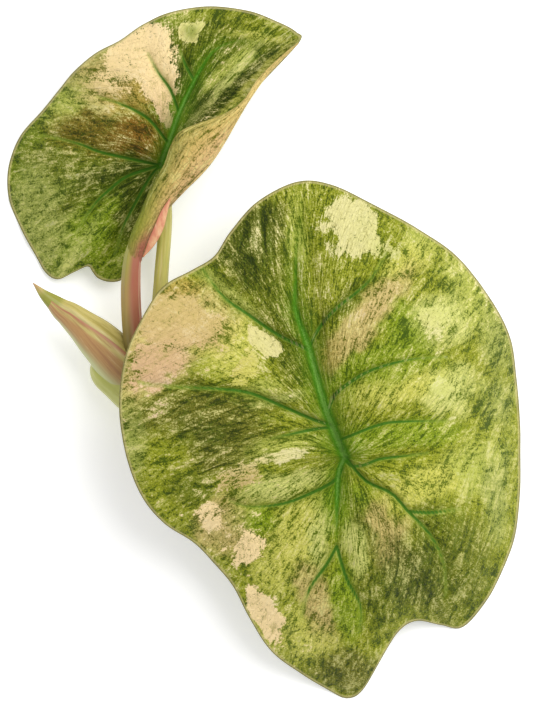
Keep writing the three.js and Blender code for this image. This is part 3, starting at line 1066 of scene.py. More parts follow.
def front_blade() -> Blade:
    """The large front blade, star shaped about its junction, with two lobes at the back."""
    return Blade(
        name="front_blade",
        slot="front_blade_skin",
        junction=(27.2, -35.2, 36.0),
        crown=2.5,
        droop=1.6,
        margin=(
            (145, 76, 0.5), (150, 71, 3), (156, 65, 10), (162, 65.5, 13), (168, 72, 10), (175, 85, 3),
            (179, 88, 0.5), (184, 84.5, 3), (191, 79.5, 9), (200, 74, 17), (210, 66, 24), (220, 60, 27),
            (230, 59, 26), (240, 60.5, 28), (250, 67, 33), (260, 72, 38), (272, 76, 43), (284, 80, 46),
            (296, 83.5, 46), (308, 85.5, 43), (314, 86, 41), (321, 83.5, 38), (327, 83, 36), (333, 87.5, 35),
            (341, 93.5, 35), (350, 97, 32), (357, 95, 29), (6, 89, 25), (18, 84, 20), (30, 81, 14),
            (43, 76.5, 9), (55, 73, 5), (67, 68, 2), (79, 65, 0.5), (91, 64, 0.5), (103, 65.5, 1),
            (115, 68.5, 3), (124, 70.5, 3), (134, 73.5, 2),
        ),
        midrib_feet=(
            (180, 0), (262, 0), (291, 0.165), (322, 0.415), (350, 0.95), (368.5, 0.42), (405.6, 0.21),
            (430, 0.065), (450, 0), (539.9, 0),
        ),
        veins=(
            Vein(
                ((27.2, -35.2), (20.5, -18.5), (14.5, 3), (10, 16),
                 (10, 23.5), (10.5, 37.5), (12.5, 49), (11.5, 59)),
                2.3, 0.35, 1.2, main=True, fade=0.1,
            ),
            Vein(
                ((14.8, 1.6), (12, 3.2), (3.5, 7.5), (-7.5, 15), (-14, 19.5), (-19, 25.5), (-26, 36)),
                0.48, 0.16, 0.8,
            ),
            Vein(
                ((22.2, -24), (17, -22.5), (6.5, -18),
                 (-5.5, -13), (-16.5, -11.5), (-35.5, -10.5), (-44, -9)),
                0.57, 0.16, 0.9,
            ),
            Vein(((23, -25), (17, -25.5), (2, -28.5)), 0.30, 0.12, 0.4),
            Vein(
                ((26, -39.5), (23.5, -43.5), (15, -48), (5.5, -51.5), (-5.5, -52.5), (-12.5, -50.5)),
                0.60, 0.24, 0.8,
            ),
            Vein(
                ((14.8, 2), (16.6, 6.8), (20.5, 12.5), (25, 17), (32, 22.5), (37, 27.5), (42, 36)),
                0.48, 0.16, 0.8,
            ),
            Vein(
                ((21.2, -19), (23.5, -14), (28, -10), (35.5, -5.5), (45, -2.5), (53.5, -1), (63.5, -0.5)),
                0.66, 0.24, 0.9,
            ),
            Vein(((25, -29.5), (39.5, -24), (49, -23), (63.5, -23)), 0.30, 0.16, 0.4),
            Vein(
                ((27.4, -36.4), (29.5, -38.4), (34, -38), (39.5, -36), (48.5, -35), (56.5, -34)),
                0.48, 0.20, 0.7,
            ),
            Vein(((27.2, -35.2), (25, -41), (24.5, -53), (24.5, -66.5)), 1.3, 0.6, 1.0, main=True),
            Vein(((24.5, -66.5), (21, -73), (15, -82), (12, -92)), 0.42, 0.20, 0.6),
            Vein(((24.5, -66.5), (28, -78), (33, -88), (33, -98)), 0.36, 0.16, 0.5),
            Vein(
                ((27.2, -35.2), (34.5, -43.5), (43.5, -48),
                 (49.5, -54.5), (57.5, -63), (62.5, -73), (64, -85)),
                0.54, 0.16, 0.9,
            ),
            Vein(((49.5, -54.5), (58, -55), (68.5, -54)), 0.36, 0.20, 0.5),
        ),
        patches=(
            *splashes(
                Tone.DARK, ((-7, 38), (9, 14), -25, 1.6), ((-22, -26), (9, 6), 10, 1.6),
                ((54, -76), (12, 10), -20, 1.5),
            ),
            *splashes(
                Tone.DEEP, ((4, 22), (7, 16), 15, 1.3), ((29, 19), (9, 3), 42, 1.1),
                ((14, 6), (5, 12), 10, 1.1), ((8, 0), (5, 10), 25, 1.2), ((-26, -45), (7, 5), 0, 1.0),
                ((34, -60), (2.5, 12), 30, 1.2), ((66, -76), (12, 16), 0, 1.4),
                ((41, -86), (6, 9), 0, 1.0), ((60, -60), (8, 5), -30, 0.9),
            ),
            *splashes(
                Tone.SAGE, ((10, 45), (3.5, 9), 0, 0.9), ((56, 40), (5, 5), 0, 0.8),
                ((72, 22), (8, 12), 20, 0.9), ((74, -38), (8, 8), 0, 1.0), ((-3, -12), (7, 3), 10, 0.8),
                ((2, -33), (12, 4), 12, 0.8),
            ),
            *splashes(
                Tone.OLIVE, ((20, 52), (13, 6), 0, 0.8), ((26, 30), (13, 7), 20, 0.8),
                ((86, -6), (4, 7), 0, 1.2), ((76, -24), (7, 10), 0, 0.8), ((-15, 23), (10, 5), -35, 0.7),
                ((-34, -36), (9, 9), 0, 0.9),
            ),
            *splashes(
                Tone.BUTTER, ((50, 33), (10, 4), 40, 0.9), ((48, -11), (14, 4), 8, 1.3),
                ((56, -45), (13, 4.5), 15, 1.3), ((-12, 6), (8, 9), -20, 0.9),
                ((8, -66), (6, 14), -25, 1.3), ((10, -99), (12, 6), -20, 0.8),
            ),
            *splashes(
                Tone.TAN, ((41, 20), (12, 3.5), 45, 1.5), ((30, 6), (11, 3.6), 48, 1.4),
                ((-38, 10), (12, 9), 30, 1.3), ((-20, 12), (9, 9), 0, 1.2), ((-47, -6), (5, 9), 0, 1.0),
                ((-15, -58), (7, 8), -30, 1.0), ((17, -88), (5, 11), 10, 1.1),
                ((42, -62), (6, 9), 25, 0.9),
            ),
            *splashes(Tone.GOLD, ((22, -1), (6, 3), 45, 0.8), ((-34, 20), (10, 4), 20, 0.8)),
            *splashes(
                Tone.LEAF, ((50, 8), (8, 10), 45, 0.9), ((36, -6), (14, 6), 20, 1.0),
                ((44, -28), (20, 4), 5, 0.9), ((-3, -57), (8, 4), -10, 0.9), ((24, -52), (9, 7), 0, 0.9),
                ((28, -86), (4, 12), 8, 1.0),
            ),
            *splashes(
                Tone.LIME, ((61, 12), (8, 7), 0, 1.4), ((64, -13), (8, 7), 0, 1.3),
                ((5, -46), (11, 3.4), 12, 1.5), ((18, -62), (3.5, 9), 0, 0.9),
                ((31, -67), (3, 9), 10, 1.0),
            ),
            *splashes(
                Tone.MIST, ((83, 6), (6, 10), 10, 1.0), ((82, -18), (6, 9), -10, 1.0),
                # The splash at (-14, 22) is painted highlight: the pale sheen on the lit side of a fold.
                ((82, -50), (4, 12), 0, 1.2), ((-14, 22), (12, 2.4), -38, 1.6),
                ((2, -16), (9, 1.6), 12, 1.2), ((-47, -26), (4, 13), 10, 1.2),
            ),
            *splashes(Tone.BLUSH, ((-37, -3), (9, 6), 10, 1.6)),
            *splashes(
                Tone.MOSS, ((-24, -19), (21, 7), 5, 2.2), ((-13, -31), (12, 7), 10, 1.5),
                ((28, -112), (9, 6), 0, 0.9),
            ),
            *splashes(
                Tone.CREAM, ((30, 44), (10.5, 12), 20, 1.4), ((-1, 5), (8, 3.6), -50, 1.2),
                # The bare splash at (5, -35) is partly tissue without green and partly painted reflection:
                # the silvery sheen on the crinkles there.
                ((79, 24), (4, 10), 20, 0.55), ((5, -35), (13, 2.6), 12, 0.6), ((59, 8), (4, 5), 0, 0.5),
                bare=True,
            ),
            *splashes(Tone.SAGE, ((40, 39), (9, 6), -30, 0.55), ((70, -40), (6, 4), 0, 0.5), bare=True),
            *splashes(
                Tone.BUTTER, ((-8, -4), (8, 4), 60, 0.7), ((11, -68), (5, 10), -25, 0.5), bare=True,
            ),
            *splashes(Tone.BLUSH, ((-38, -3), (12, 7.5), 5, 0.95), bare=True),
            *splashes(
                Tone.TAN, ((-31, 11), (18, 10), -8, 0.9), ((-9, -42), (9, 5), 15, 0.62),
                ((40, 19), (11, 3), 45, 0.6), bare=True,
            ),
            *splashes(
                Tone.FLESH, ((-18, -56), (7, 6), -30, 0.7), ((-7, -67), (7, 8), -30, 0.75),
                ((-1, -91), (4, 12), 22, 1.1), bare=True,
            ),
            *splashes(
                Tone.LIME, ((60, 13), (7, 5.5), 30, 0.72), ((64, -12), (6.5, 5), -20, 0.66), bare=True,
            ),
        ),
        base=Tone.OLIVE,
        seed=11,
    )


def rear_blade() -> Blade:
    """The rear blade, its right half steep and mostly behind the young leaf."""
    return Blade(
        name="rear_blade",
        slot="rear_blade_skin",
        junction=(-37.6, 67.3, 18.0),
        crown=1.5,
        droop=1.2,
        margin=(
            (216.5, 44, 9), (220, 49, 7), (223, 54.5, 4), (228, 56, 3), (236, 55, 2), (247, 55, 1),
            (259, 56, 0.5), (271, 55, 0.5), (283, 52, 1), (295, 47.5, 4), (307, 46, 6), (318, 46, 9),
            (330, 46.5, 10), (342, 47, 12), (354, 51, 14), (6, 55, 16), (18, 59, 18), (30, 62.5, 20),
            (40, 65, 23), (46, 66.5, 25), (49, 65, 26), (51.5, 47, 28), (55, 34, 29), (60.5, 26.5, 30),
            (72, 19.5, 30), (93, 15.5, 29), (120, 13.5, 27), (144, 12, 24), (161, 13, 21), (178, 17.5, 17),
            (186.5, 26.5, 13), (192, 33.5, 11), (196, 39, 9), (200, 43, 8), (205, 45, 7), (210, 45.5, 6),
            (213.5, 44.5, 8),
        ),
        midrib_feet=(
            (180, 0), (275, 0), (323, 0.14), (359, 0.3), (372, 0.45), (395, 0.75), (408, 0.95), (410, 0.8),
            (413, 0.6), (418, 0.42), (430, 0.25), (453, 0.08), (475, 0), (539.9, 0),
        ),
        veins=(
            Vein(
                ((-37.6, 67.3), (-34, 77), (-30.5, 86.5), (-25.5, 97),
                 (-22, 103), (-18, 108), (-10, 111), (8, 111)),
                1.3, 0.25, 1.0, main=True, fade=0.0,
            ),
            Vein(((-35, 75.5), (-41, 83), (-46, 86.5), (-52.5, 89.5), (-60, 92)), 0.42, 0.16, 0.8),
            Vein(((-31, 86), (-34, 94), (-38.5, 100.5), (-42, 107)), 0.36, 0.16, 0.7),
            Vein(((-25.5, 97), (-28.5, 102.5), (-30.5, 108)), 0.30, 0.16, 0.5),
            Vein(((-37.6, 67.3), (-49.5, 70), (-59.5, 72.5), (-67, 75.5), (-80, 79)), 0.48, 0.16, 0.8),
            Vein(
                ((-37.6, 67.3), (-40.5, 66.5), (-49.5, 63.5), (-55, 59.5), (-61, 54), (-68, 44)),
                0.60, 0.20, 0.9,
            ),
            Vein(((-37.6, 67.3), (-41, 63.5), (-46, 55), (-51, 45.5), (-54, 36)), 0.48, 0.16, 0.7),
        ),
        patches=(
            *splashes(
                Tone.DEEP, ((-22, 110), (10, 8), 20, 1.3), ((-6, 109), (12, 2.0), 0, 1.4),
                ((-72, 70), (12, 6), -10, 1.0), ((-68, 56), (9, 2.2), 30, 1.2),
            ),
            *splashes(Tone.OLIVE, ((-10, 118), (16, 5), -10, 0.8)),
            *splashes(
                Tone.DARK, ((-28, 97), (4, 11), 25, 1.5), ((-23, 86), (2.5, 14), -38, 1.1),
                ((-17, 88), (1.5, 12), -40, 2.0), ((-7, 97), (1.5, 16), -44, 2.2),
                ((1, 101), (1.5, 12), -45, 1.8), ((-55, 62), (13, 6), 22, 1.5),
                ((-48, 48), (5, 12), -30, 1.3),
            ),
            *splashes(Tone.LIME, ((-15, 95), (1.4, 17), -42, 2.2), ((-66, 40), (2, 12), -35, 0.8)),
            *splashes(Tone.SAGE, ((-12, 103), (1.5, 14), -48, 2.0), ((-68, 92), (10, 5), 40, 1.0)),
            *splashes(Tone.BUTTER, ((-3, 98), (1.3, 15), -45, 2.0), ((-4, 112), (11, 1.2), -8, 1.2)),
            *splashes(Tone.TAN, ((-58, 98), (9, 8), 35, 1.4)),
            *splashes(Tone.GOLD, ((-50, 92), (9, 5), -10, 1.2)),
            *splashes(Tone.BROWN, ((-57, 79), (16, 6), -10, 2.4)),
            *splashes(Tone.RUST, ((-46, 76.5), (8, 5.5), -30, 3.0)),
            *splashes(
                Tone.LEAF, ((-64, 47), (6, 13), -40, 1.2), ((-58, 48), (2, 10), -35, 1.4),
                ((-56, 38), (7, 8), 0, 1.0),
            ),
            *splashes(Tone.MIST, ((-83, 54), (7, 12), -20, 1.3), ((-77, 42), (7, 10), -40, 1.3)),
            *splashes(
                Tone.FLESH, ((-44, 108), (13, 10), 35, 1.4), ((-40, 98), (8, 10), 20, 1.3), bare=True,
            ),
            *splashes(Tone.TAN, ((-56, 98), (11, 8), 35, 0.66), bare=True),
            *splashes(Tone.BLUSH, ((-36.5, 87), (3, 9), 22, 0.9), bare=True),
            *splashes(Tone.LIME, ((-26.5, 114), (3.6, 4), 0, 1.6), bare=True),
            *splashes(Tone.MEADOW, ((-26.5, 114), (1.3, 1.4), 0, 6.0), bare=True),
            *splashes(Tone.SAGE, ((-64, 90), (9, 4), -15, 0.55), bare=True),
        ),
        base=Tone.MEADOW,
        seed=31,
    )


# ------------------------------------------------------------------ stalks and rolled leaves


def grain_of(path: Path, angles: np.ndarray, radius: float) -> np.ndarray:
    """Coordinates for streaks: the place round the section in millimetres, and the length over 12."""
    angles = np.broadcast_to(angles, (path.stations, angles.shape[-1]))
    length = np.broadcast_to((path.shares * path.length / 12.0)[:, None], angles.shape)
    return np.stack([radius * np.cos(angles), radius * np.sin(angles), length], axis=-1)


def streaks(
    grain: np.ndarray, side: np.ndarray, foot: np.ndarray | float = 0.0, edge: np.ndarray | float = 0.0
) -> dict[str, np.ndarray]:
    """Collects what a streaked skin reads, spread over every point of a surface.

    Args:
        grain: streak coordinates by ring and point.
        side: from the left colour, 0, to the right one, 1.
        foot: how far the foot colour covers the others.
        edge: how far the edge colour covers them all.
    Returns:
        The attributes by name.
    """
    values = {"side": side, "foot": foot, "edge": edge}
    spread_out = {key: np.broadcast_to(value, grain.shape[:2]) for key, value in values.items()}
    return {**spread_out, "grain": grain}


@dataclass
class Stalk:
    """A leaf stalk: an oval rod with fine ribs and a shallow groove along its upper side."""

    name: str
    slot: str
    waypoints: tuple[Point, ...]
    half_widths: tuple[float, ...]
    foot_fade: tuple[float, float] = (-2.0, -1.0)  # shares of the length over which the foot colour ends
    top_rise: tuple[float, float] = (2.0, 3.0)  # shares of the length over which the left side greens
    ribs: int = 9
    rib_depth: float = 0.03
    stations: int = 160
    sides: int = 56

    def build(self, finish: bpy.types.Material) -> None:
        """Makes the stalk.

        The half width is the girth times one plus a small cosine of the angle times the ribs, less a
        bell-shaped groove about the upper side.

        Args:
            finish: the stalk's skin.
        """
        path = Path(self.waypoints, self.stations)
        angles = full_circle(self.sides)
        girth = spread(self.half_widths, path.shares)[:, None]
        ribbed = girth * (1 + self.rib_depth * np.cos(self.ribs * angles))[None]
        groove = 1 - 0.1 * bell(angles - math.pi / 2, 0.35)
        ribbed = ribbed * groove[None]
        surface = rod(self.name, path, path.section(angles, ribbed, ribbed))
        left = 0.5 - 0.5 * np.cos(angles)[None]
        foot = (1 - smoothstep(*self.foot_fade, path.shares))[:, None]
        greened = 0.85 * smoothstep(*self.top_rise, path.shares)[:, None]
        surface.values = streaks(
            grain_of(path, angles, float(girth.mean())),
            side=0.5 + 0.5 * np.cos(angles),
            foot=foot * smoothstep(0.2, 0.7, left),
            edge=greened * smoothstep(0.35, 0.9, left),
        )
        dress(surface.build(), self.slot, (self.name,), finish)


@dataclass
class YoungBlade:
    """The rolled young blade: a bulging roll between its two outlines, narrow towards the tip."""

    name: str = "young_blade"
    left: tuple[Point, ...] = (
        (-49.8, 30.5, 25.2), (-47.9, 41, 29.3), (-43.6, 51, 31), (-39.9, 59.4, 32.5), (-35.7, 66.4, 34),
        (-33.3, 73, 35.5), (-30, 77.6, 37), (-22.8, 80.8, 38.5), (-14.5, 83.8, 38.5), (-8.3, 88.3, 37.5),
        (-3, 96.2, 34.5), (3.4, 103, 31), (10.9, 109.6, 28),
    )
    right: tuple[Point, ...] = (
        (-44.6, 30.5, 25.2), (-41.9, 39, 28.8), (-37.6, 46.7, 30.5), (-32.9, 52.4, 32), (-27.2, 58.2, 34),
        (-22.7, 62.5, 35), (-18.2, 67.8, 36), (-14, 74.3, 37), (-10, 81.3, 37.5), (-6, 88.1, 36.5),
        (-0.9, 95.7, 34), (4.8, 102.3, 31), (11.3, 109.1, 28),
    )
    bulges: tuple[float, ...] = (0.5, 0.5, 0.42, 0.36, 0.36, 0.36, 0.38)
    stations: int = 240
    around: int = 110
    olive: str = "#A09E3C"  # at the foot, along the roll
    beige: str = "#D2B468"
    warm: str = "#E2BA80"  # towards the right
    green: str = "#76841E"  # along the left
    # painted highlight: yellow along the lit right edge of the roll and over the narrow tip
    yellow: str = "#F6D688"  # on the right edge
    foot_left: str = "#A8944E"
    foot_right: str = "#B46E5A"

    def build(self, finish: bpy.types.Material) -> None:
        """Makes the roll.

        At each station the section is an oval through both outlines: half the gap times the cosine
        across, and the gap times the bulge times the sine upwards, with ripples that run lengthwise.

        Args:
            finish: the skin of the roll.
        """
        both = smooth_curve(np.hstack([np.array(self.left), np.array(self.right)]), self.stations)
        left, right = both[:, :3], both[:, 3:]
        angles = full_circle(self.around)
        middle = (left + right) / 2
        half = (right - left) / 2
        gap = 2 * np.linalg.norm(half, axis=1)
        shares = np.linspace(0.0, 1.0, self.stations)[:, None]
        ripple = 0.05 * np.sin(9 * np.cos(angles) + 7 * shares) * (np.abs(np.sin(angles)) > 0.05)
        swell = np.sin(angles) * (1 + ripple)
        rings = middle[:, None] + half[:, None] * np.cos(angles)[None, :, None]
        rings[..., 2] += (gap * spread(self.bulges, shares[:, 0]))[:, None] * swell + 0.25 * swell
        shape = rings.shape[:2]
        over = np.broadcast_to(np.cos(angles), shape)
        tone = self._tones(over, shares, smoothstep(3.0, 12.0, gap)[:, None])
        length = float(np.linalg.norm(np.diff(middle, axis=0), axis=1).sum())
        circle = 6.0 * np.cos(angles)[None], 6.0 * np.sin(angles)[None]
        surface = Surface(self.name, rings, first_pole=middle[0], last_pole=middle[-1], flipped=True)
        none = np.zeros(shape)
        surface.values = {
            "tone": tone,
            "pale_tone": tone,
            "pale": none - 1.0,
            "specks": none + 0.45,
            "vein": none,
            "side_vein": none,
            "halo": none,
            "flow": none + 1.6,
            "contrast": none + 0.2 + 0.42 * smoothstep(0.08, 0.4, shares),
            "rim": none + 9.0,
            "grain": np.stack(np.broadcast_arrays(*circle, shares * length / 9.0), axis=-1),
        }
        dress(surface.build(), "young_leaf_skin", (self.name,), finish)

    def _tones(self, over: np.ndarray, shares: np.ndarray, wide: np.ndarray) -> np.ndarray:
        """Works out the roll's colours.

        Olive runs into beige along the roll, warmer to the right and green to the left. The foot
        takes the stalk's colours, and the right edge and the narrow tip take a yellow painted highlight.

        Args:
            over: the place across, from -1 at the left outline to 1 at the right.
            shares: the share of the length, by station.
            wide: from 0 where the roll is narrow to 1 where it is wide, by station.
        Returns:
            Linear red, green and blue by station and angle.
        """

        def towards(tone: np.ndarray, other: np.ndarray, share: np.ndarray) -> np.ndarray:
            """Moves a colour the given share of the way to another."""
            return tone + (other - tone) * share[..., None]

        tone = towards(rgb(self.olive), rgb(self.beige), smoothstep(0.08, 0.4, shares))
        tone = towards(tone, rgb(self.warm), smoothstep(-0.2, 0.9, over) * wide)
        stalk = towards(rgb(self.foot_left), rgb(self.foot_right), smoothstep(-0.4, 0.6, over))
        foot = 1 - smoothstep(0.04, 0.18, shares - 0.045 * over)
        tone = towards(tone, stalk, foot)
        shaded = smoothstep(0.1, -0.95, over) * (0.35 + 0.4 * smoothstep(0.62, 0.3, shares))
        tone = towards(tone, rgb(self.green), shaded * (1 - foot))
        # painted highlight: yellow on the lit right edge of the roll, and over all of the narrow tip
        edge = smoothstep(0.9, 0.99, over) * smoothstep(0.3, 0.4, shares)
        edge = edge + (1 - wide) * smoothstep(0.6, 0.75, shares)
        return towards(tone, rgb(self.yellow), 0.85 * np.clip(edge, 0, 1))


@dataclass
class Flap:
    """The salmon inner margin that turns out at the foot of the young blade."""

    name: str = "young_blade_flap"
    waypoints: tuple[Point, ...] = (
        (-43.2, 34.5, 27.5), (-40.4, 39.5, 30.5), (-37.9, 44.5, 33), (-35.8, 49.8, 35), (-33.4, 54.5, 37),
    )
    widths: tuple[float, ...] = (0.1, 1.5, 1.9, 1.4, 0.1)
    thickness: float = 0.5
    stations: int = 60
    across: int = 12

    def build(self, finish: bpy.types.Material) -> None:
        """Makes the flap: a strip that leaves the leaf sideways and curls down a quarter of its width."""
        path = Path(self.waypoints, self.stations)
        out = np.linspace(-0.6, 1.0, self.across)[None]
        width = spread(self.widths, path.shares)[:, None]
        rings = (
            path.centre[:, None]
            + (width * out)[..., None] * path.sideways[:, None]
            - (0.25 * width * out**2)[..., None] * path.upwards[:, None]
        )
        surface = Surface(self.name, rings, wrapped=False)
        grain = np.stack([rings[..., 0], rings[..., 2], rings[..., 1] / 8.0], axis=-1)
        surface.values = streaks(grain, side=0.5 + 0.5 * out)
        piece = surface.build()
        thicken(piece, self.thickness)
        dress(piece, "young_leaf_skin", (), finish)


@dataclass
class Spear:
    """The rolled new leaf: an inner roll with a sharp tip, and an outer wrap with a reddish margin."""

    waypoints: tuple[Point, ...] = (
        (-45, -9.5, 14), (-50.5, -4, 15.2), (-56.7, 2.8, 16.3), (-60.4, 6.5, 17.2), (-64.9, 10.6, 18.6),
        (-69.2, 14.3, 20.2), (-72.2, 16.4, 21.3), (-75, 18.7, 22.4), (-78.4, 21.6, 24), (-82, 25.5, 25),
    )
    half_widths: tuple[float, ...] = (7.6, 8.3, 8.3, 7.7, 6.9, 5.6, 4.5, 3.2, 1.8, 0.15)
    flatness: float = 0.8
    wrap_start: float = 52.0  # degrees round the section, from the right
    wrap_turn: float = 44.0  # how far its margin turns from foot to tip
    wrap_reach: float = 230.0
    wrap_thickness: float = 0.3
    stations: int = 220

    def build(self, inner: bpy.types.Material, outer: bpy.types.Material) -> None:
        """Makes both layers on one centre line.

        Args:
            inner: the skin of the roll.
            outer: the skin of the wrap.
        """
        path = Path(self.waypoints, self.stations)
        self._roll(path, inner)
        self._wrap(path, outer)

    def _roll(self, path: Path, finish: bpy.types.Material) -> None:
        """The inner roll: an oval rod, with its own seam as a small pinch along the upper side."""
        angles = full_circle(72)
        width = spread(self.half_widths, path.shares)[:, None]
        width = width * (1 - 0.07 * bell(angles - 0.75, 0.2)[None])
        surface = rod("spear_leaf", path, path.section(angles, width, width * self.flatness))
        shares = path.shares[:, None]
        surface.values = streaks(
            grain_of(path, angles, 6.0),
            side=0.5 + 0.5 * np.cos(angles),
            foot=0.85 * smoothstep(0.74, 0.8, shares) * (1 - smoothstep(0.88, 0.94, shares)),
            edge=0.8 * smoothstep(0.9, 0.99, shares),
        )
        dress(surface.build(), "young_leaf_skin", ("spear_leaf",), finish)

    def _wrap(self, path: Path, finish: bpy.types.Material) -> None:
        """The outer wrap: from its margin on the upper side it goes round the left side to below."""
        shares = path.shares[:, None]
        across = np.linspace(0.0, 1.0, 96)[None]
        angles = np.radians(self.wrap_start + self.wrap_turn * shares + self.wrap_reach * across)
        thin = 1 - smoothstep(0.72, 0.84, shares)
        lift = (0.4 + 0.35 * bell(across, 0.06)) * thin - 0.2
        width = spread(self.half_widths, path.shares)[:, None] + lift
        rings = path.section(angles, width, width * self.flatness)
        surface = Surface("spear_wrap", rings, wrapped=False, flipped=True)
        surface.values = streaks(
            grain_of(path, angles, 7.0),
            side=1 - smoothstep(0.03, 0.16, across),
            foot=0.9 * smoothstep(0.22, 0.4, across),
            edge=0.85 * bell(across - 0.012, 0.028),
        )
        piece = surface.build()
        thicken(piece, self.wrap_thickness)
        dress(piece, "young_leaf_skin", (), finish)


@dataclass
class BaseSheath:
    """The swollen sheath at the foot of the shoot, round at its free end where the spear leaves it."""

    waypoints: tuple[Point, ...] = (
        (-34.5, -22.3, 14.5), (-41, -16.5, 13.5), (-49.4, -10.2, 12.5), (-56.6, -5.2, 12.2),
        (-61.8, -1.8, 12.6),
    )
    half_widths: tuple[float, ...] = (7.6, 8.6, 8.6, 7.4, 7.0)
    rounded_from: float = 0.72  # share of the length where the end begins to close
    flatness: float = 0.95

    def build(self, finish: bpy.types.Material) -> None:
        """Makes the sheath: an oval rod that swells and closes in a blunt round end."""
        path = Path(self.waypoints, 120)
        angles = full_circle(72)
        closing = np.clip((path.shares - self.rounded_from) / (1 - self.rounded_from), 0, 1)
        round_off = np.sqrt(np.clip(1 - closing**2.4, 0.0004, 1.0))
        width = (spread(self.half_widths, path.shares) * round_off)[:, None]
        ribbed = width * (1 + 0.012 * np.cos(14 * angles))[None]
        surface = rod("base_sheath", path, path.section(angles, ribbed, ribbed * self.flatness))
        surface.values = streaks(grain_of(path, angles, 8.0), side=0.5 + 0.5 * np.cos(angles))
        dress(surface.build(), "sheath_skin", ("base_sheath",), finish)


# ------------------------------------------------------------------ corm and roots


@dataclass
class Corm:
    """The corm with its ringed leaf scars, two small offsets and the roots that lie on the table."""

    radius: float = 14.5
    base: tuple[float, float] = (-9.0, -44.0)
    top: tuple[float, float] = (-36.0, -21.0)
    middle: tuple[float, float] = (-23.0, -32.0)
    girths: tuple[float, ...] = (
        0.2, 0.52, 0.74, 0.88, 0.95, 1, 0.97, 1, 0.96, 0.97, 0.92, 0.92, 0.84, 0.82, 0.72, 0.68, 0.56,
    )
    roots: tuple[Point, ...] = (  # direction in degrees, length, sway
        (-92, 28, 2), (-70, 50, -4), (-48, 62, 5), (-22, 66, -5), (4, 58, 4), (26, 52, -3), (95, 36, 2),
    )
    root_radius: float = 1.3
    offset_radius: float = 4.5
    offset_directions: tuple[float, ...] = (49.5, 229.5)
    offset_girths: tuple[float, ...] = (0.12, 0.72, 0.93, 1, 0.97, 0.86, 0.62, 0.3, 0.08)
    gap: float = 0.3
    scars: float = 9.0  # rings of leaf scars on each body

    def build(self, skin: bpy.types.Material, root_skin: bpy.types.Material) -> None:
        """Makes the corm, its offsets, which lie on the table beside it, and its roots.

        Args:
            skin: the finish of the corm and the offsets.
            root_skin: the finish of the roots.
        """
        ends = (*self.base, self.radius), (*self.top, self.radius)
        self._body("corm", *ends, self.girths, self.radius, skin, 7)
        axis = np.array(self.top) - np.array(self.base)
        axis = axis / np.linalg.norm(axis)
        drop = self.radius - self.offset_radius
        reach = math.sqrt((self.radius + self.offset_radius + self.gap) ** 2 - drop**2)
        for number, direction in enumerate(self.offset_directions, start=1):
            turn = math.radians(direction)
            centre = np.array(self.middle) + reach * np.array([math.cos(turn), math.sin(turn)])
            start = (*(centre - 1.15 * self.offset_radius * axis), self.offset_radius)
            end = (*(centre + 1.25 * self.offset_radius * axis), self.offset_radius)
            self._body(f"cormel_{number}", start, end, self.offset_girths, self.offset_radius, skin, 3)
        for number, shape in enumerate(self.roots, start=1):
            self._root(f"root_{number}", *shape, root_skin)

    def _body(
        self, name: str, start: Point, end: Point, girths: tuple[float, ...], radius: float,
        finish: bpy.types.Material, seed: int,
    ) -> None:
        """A turnip-like body: its girth curve, cut by sharp rings and roughened by cloud noise.

        Args:
            name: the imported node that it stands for.
            start: one end of its axis.
            end: the other end.
            girths: its radius along the axis, as shares of the widest.
            radius: the widest radius.
            finish: its skin.
            seed: picks the roughness.
        """
        middle = tuple((np.array(start) + np.array(end)) / 2)
        path = Path((start, middle, end), 150)
        angles = full_circle(120)
        girth = spread(girths, path.shares)[:, None] * radius
        ring_phase = (path.shares * self.scars)[:, None] + 0.12 * np.sin(3 * angles)[None]
        ring = np.exp(-(((ring_phase % 1.0) - 0.5) ** 2) / 0.006)
        bumps = np.zeros(ring.shape)
        for number, around in enumerate((np.cos(angles), np.sin(angles))):
            place = np.stack(np.broadcast_arrays(8 * around[None] + 20, path.shares[:, None] * 30), axis=-1)
            bumps += cloud(place.reshape(-1, 2), 3.0, seed + number).reshape(ring.shape)
        body = girth * (1 - 0.035 * ring + 0.012 * (bumps - 1.2))
        rings = path.section(angles, body, body)
        rings[..., 2] = np.maximum(rings[..., 2], FLOOR)
        surface = rod(name, path, rings)
        grain = grain_of(path, angles, radius) * np.array([0.25, 0.25, 12.0])
        surface.values = {"ring": 0.7 * ring, "grain": grain}
        dress(surface.build(), "corm_skin", (name,), finish)

    def _root(
        self, name: str, direction: float, length: float, sway: float, finish: bpy.types.Material
    ) -> None:
        """A root: a tapering rod that comes down to the table and sways, with small knots along it.

        Args:
            name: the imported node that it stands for.
            direction: where it heads, in degrees from +X to +Y.
            length: how far it reaches from the corm's middle.
            sway: how far it swings to the side, as a sine of a full turn.
            finish: its skin.
        """
        turn = math.radians(direction)
        ahead = np.array([math.cos(turn), math.sin(turn)])
        aside = np.array([-math.sin(turn), math.cos(turn)])
        shares = np.linspace(0.12, 1.0, 9)
        thin = self.root_radius * (1 - 0.6 * shares)
        plan = (
            np.array(self.middle)
            + (length * shares)[:, None] * ahead
            + (sway * np.sin(shares * FULL_TURN) * shares)[:, None] * aside
        )
        height = 6 * np.maximum(0.0, 1 - shares * 3) ** 2 + thin + 0.12
        path = Path(tuple(map(tuple, np.column_stack([plan, height]))), 140)
        angles = full_circle(20)
        run = path.shares * length
        knots = 1 + 0.07 * np.sin(run * 1.7 + direction) * np.sin(run * 0.63)
        girth = self.root_radius * (1 - 0.6 * path.shares) * knots
        girth[-6:] *= np.linspace(1.0, 0.15, 6)
        rings = path.section(angles, girth[:, None], girth[:, None])
        rings[..., 2] = np.maximum(rings[..., 2], FLOOR)
        surface = rod(name, path, rings)
        darker = 0.6 * smoothstep(0.8, 1.0, path.shares)[:, None]
        surface.values = {"foot": np.broadcast_to(darker, rings.shape[:2])}
        dress(surface.build(), "root_skin", (name,), finish)


# ------------------------------------------------------------------ table, light and camera


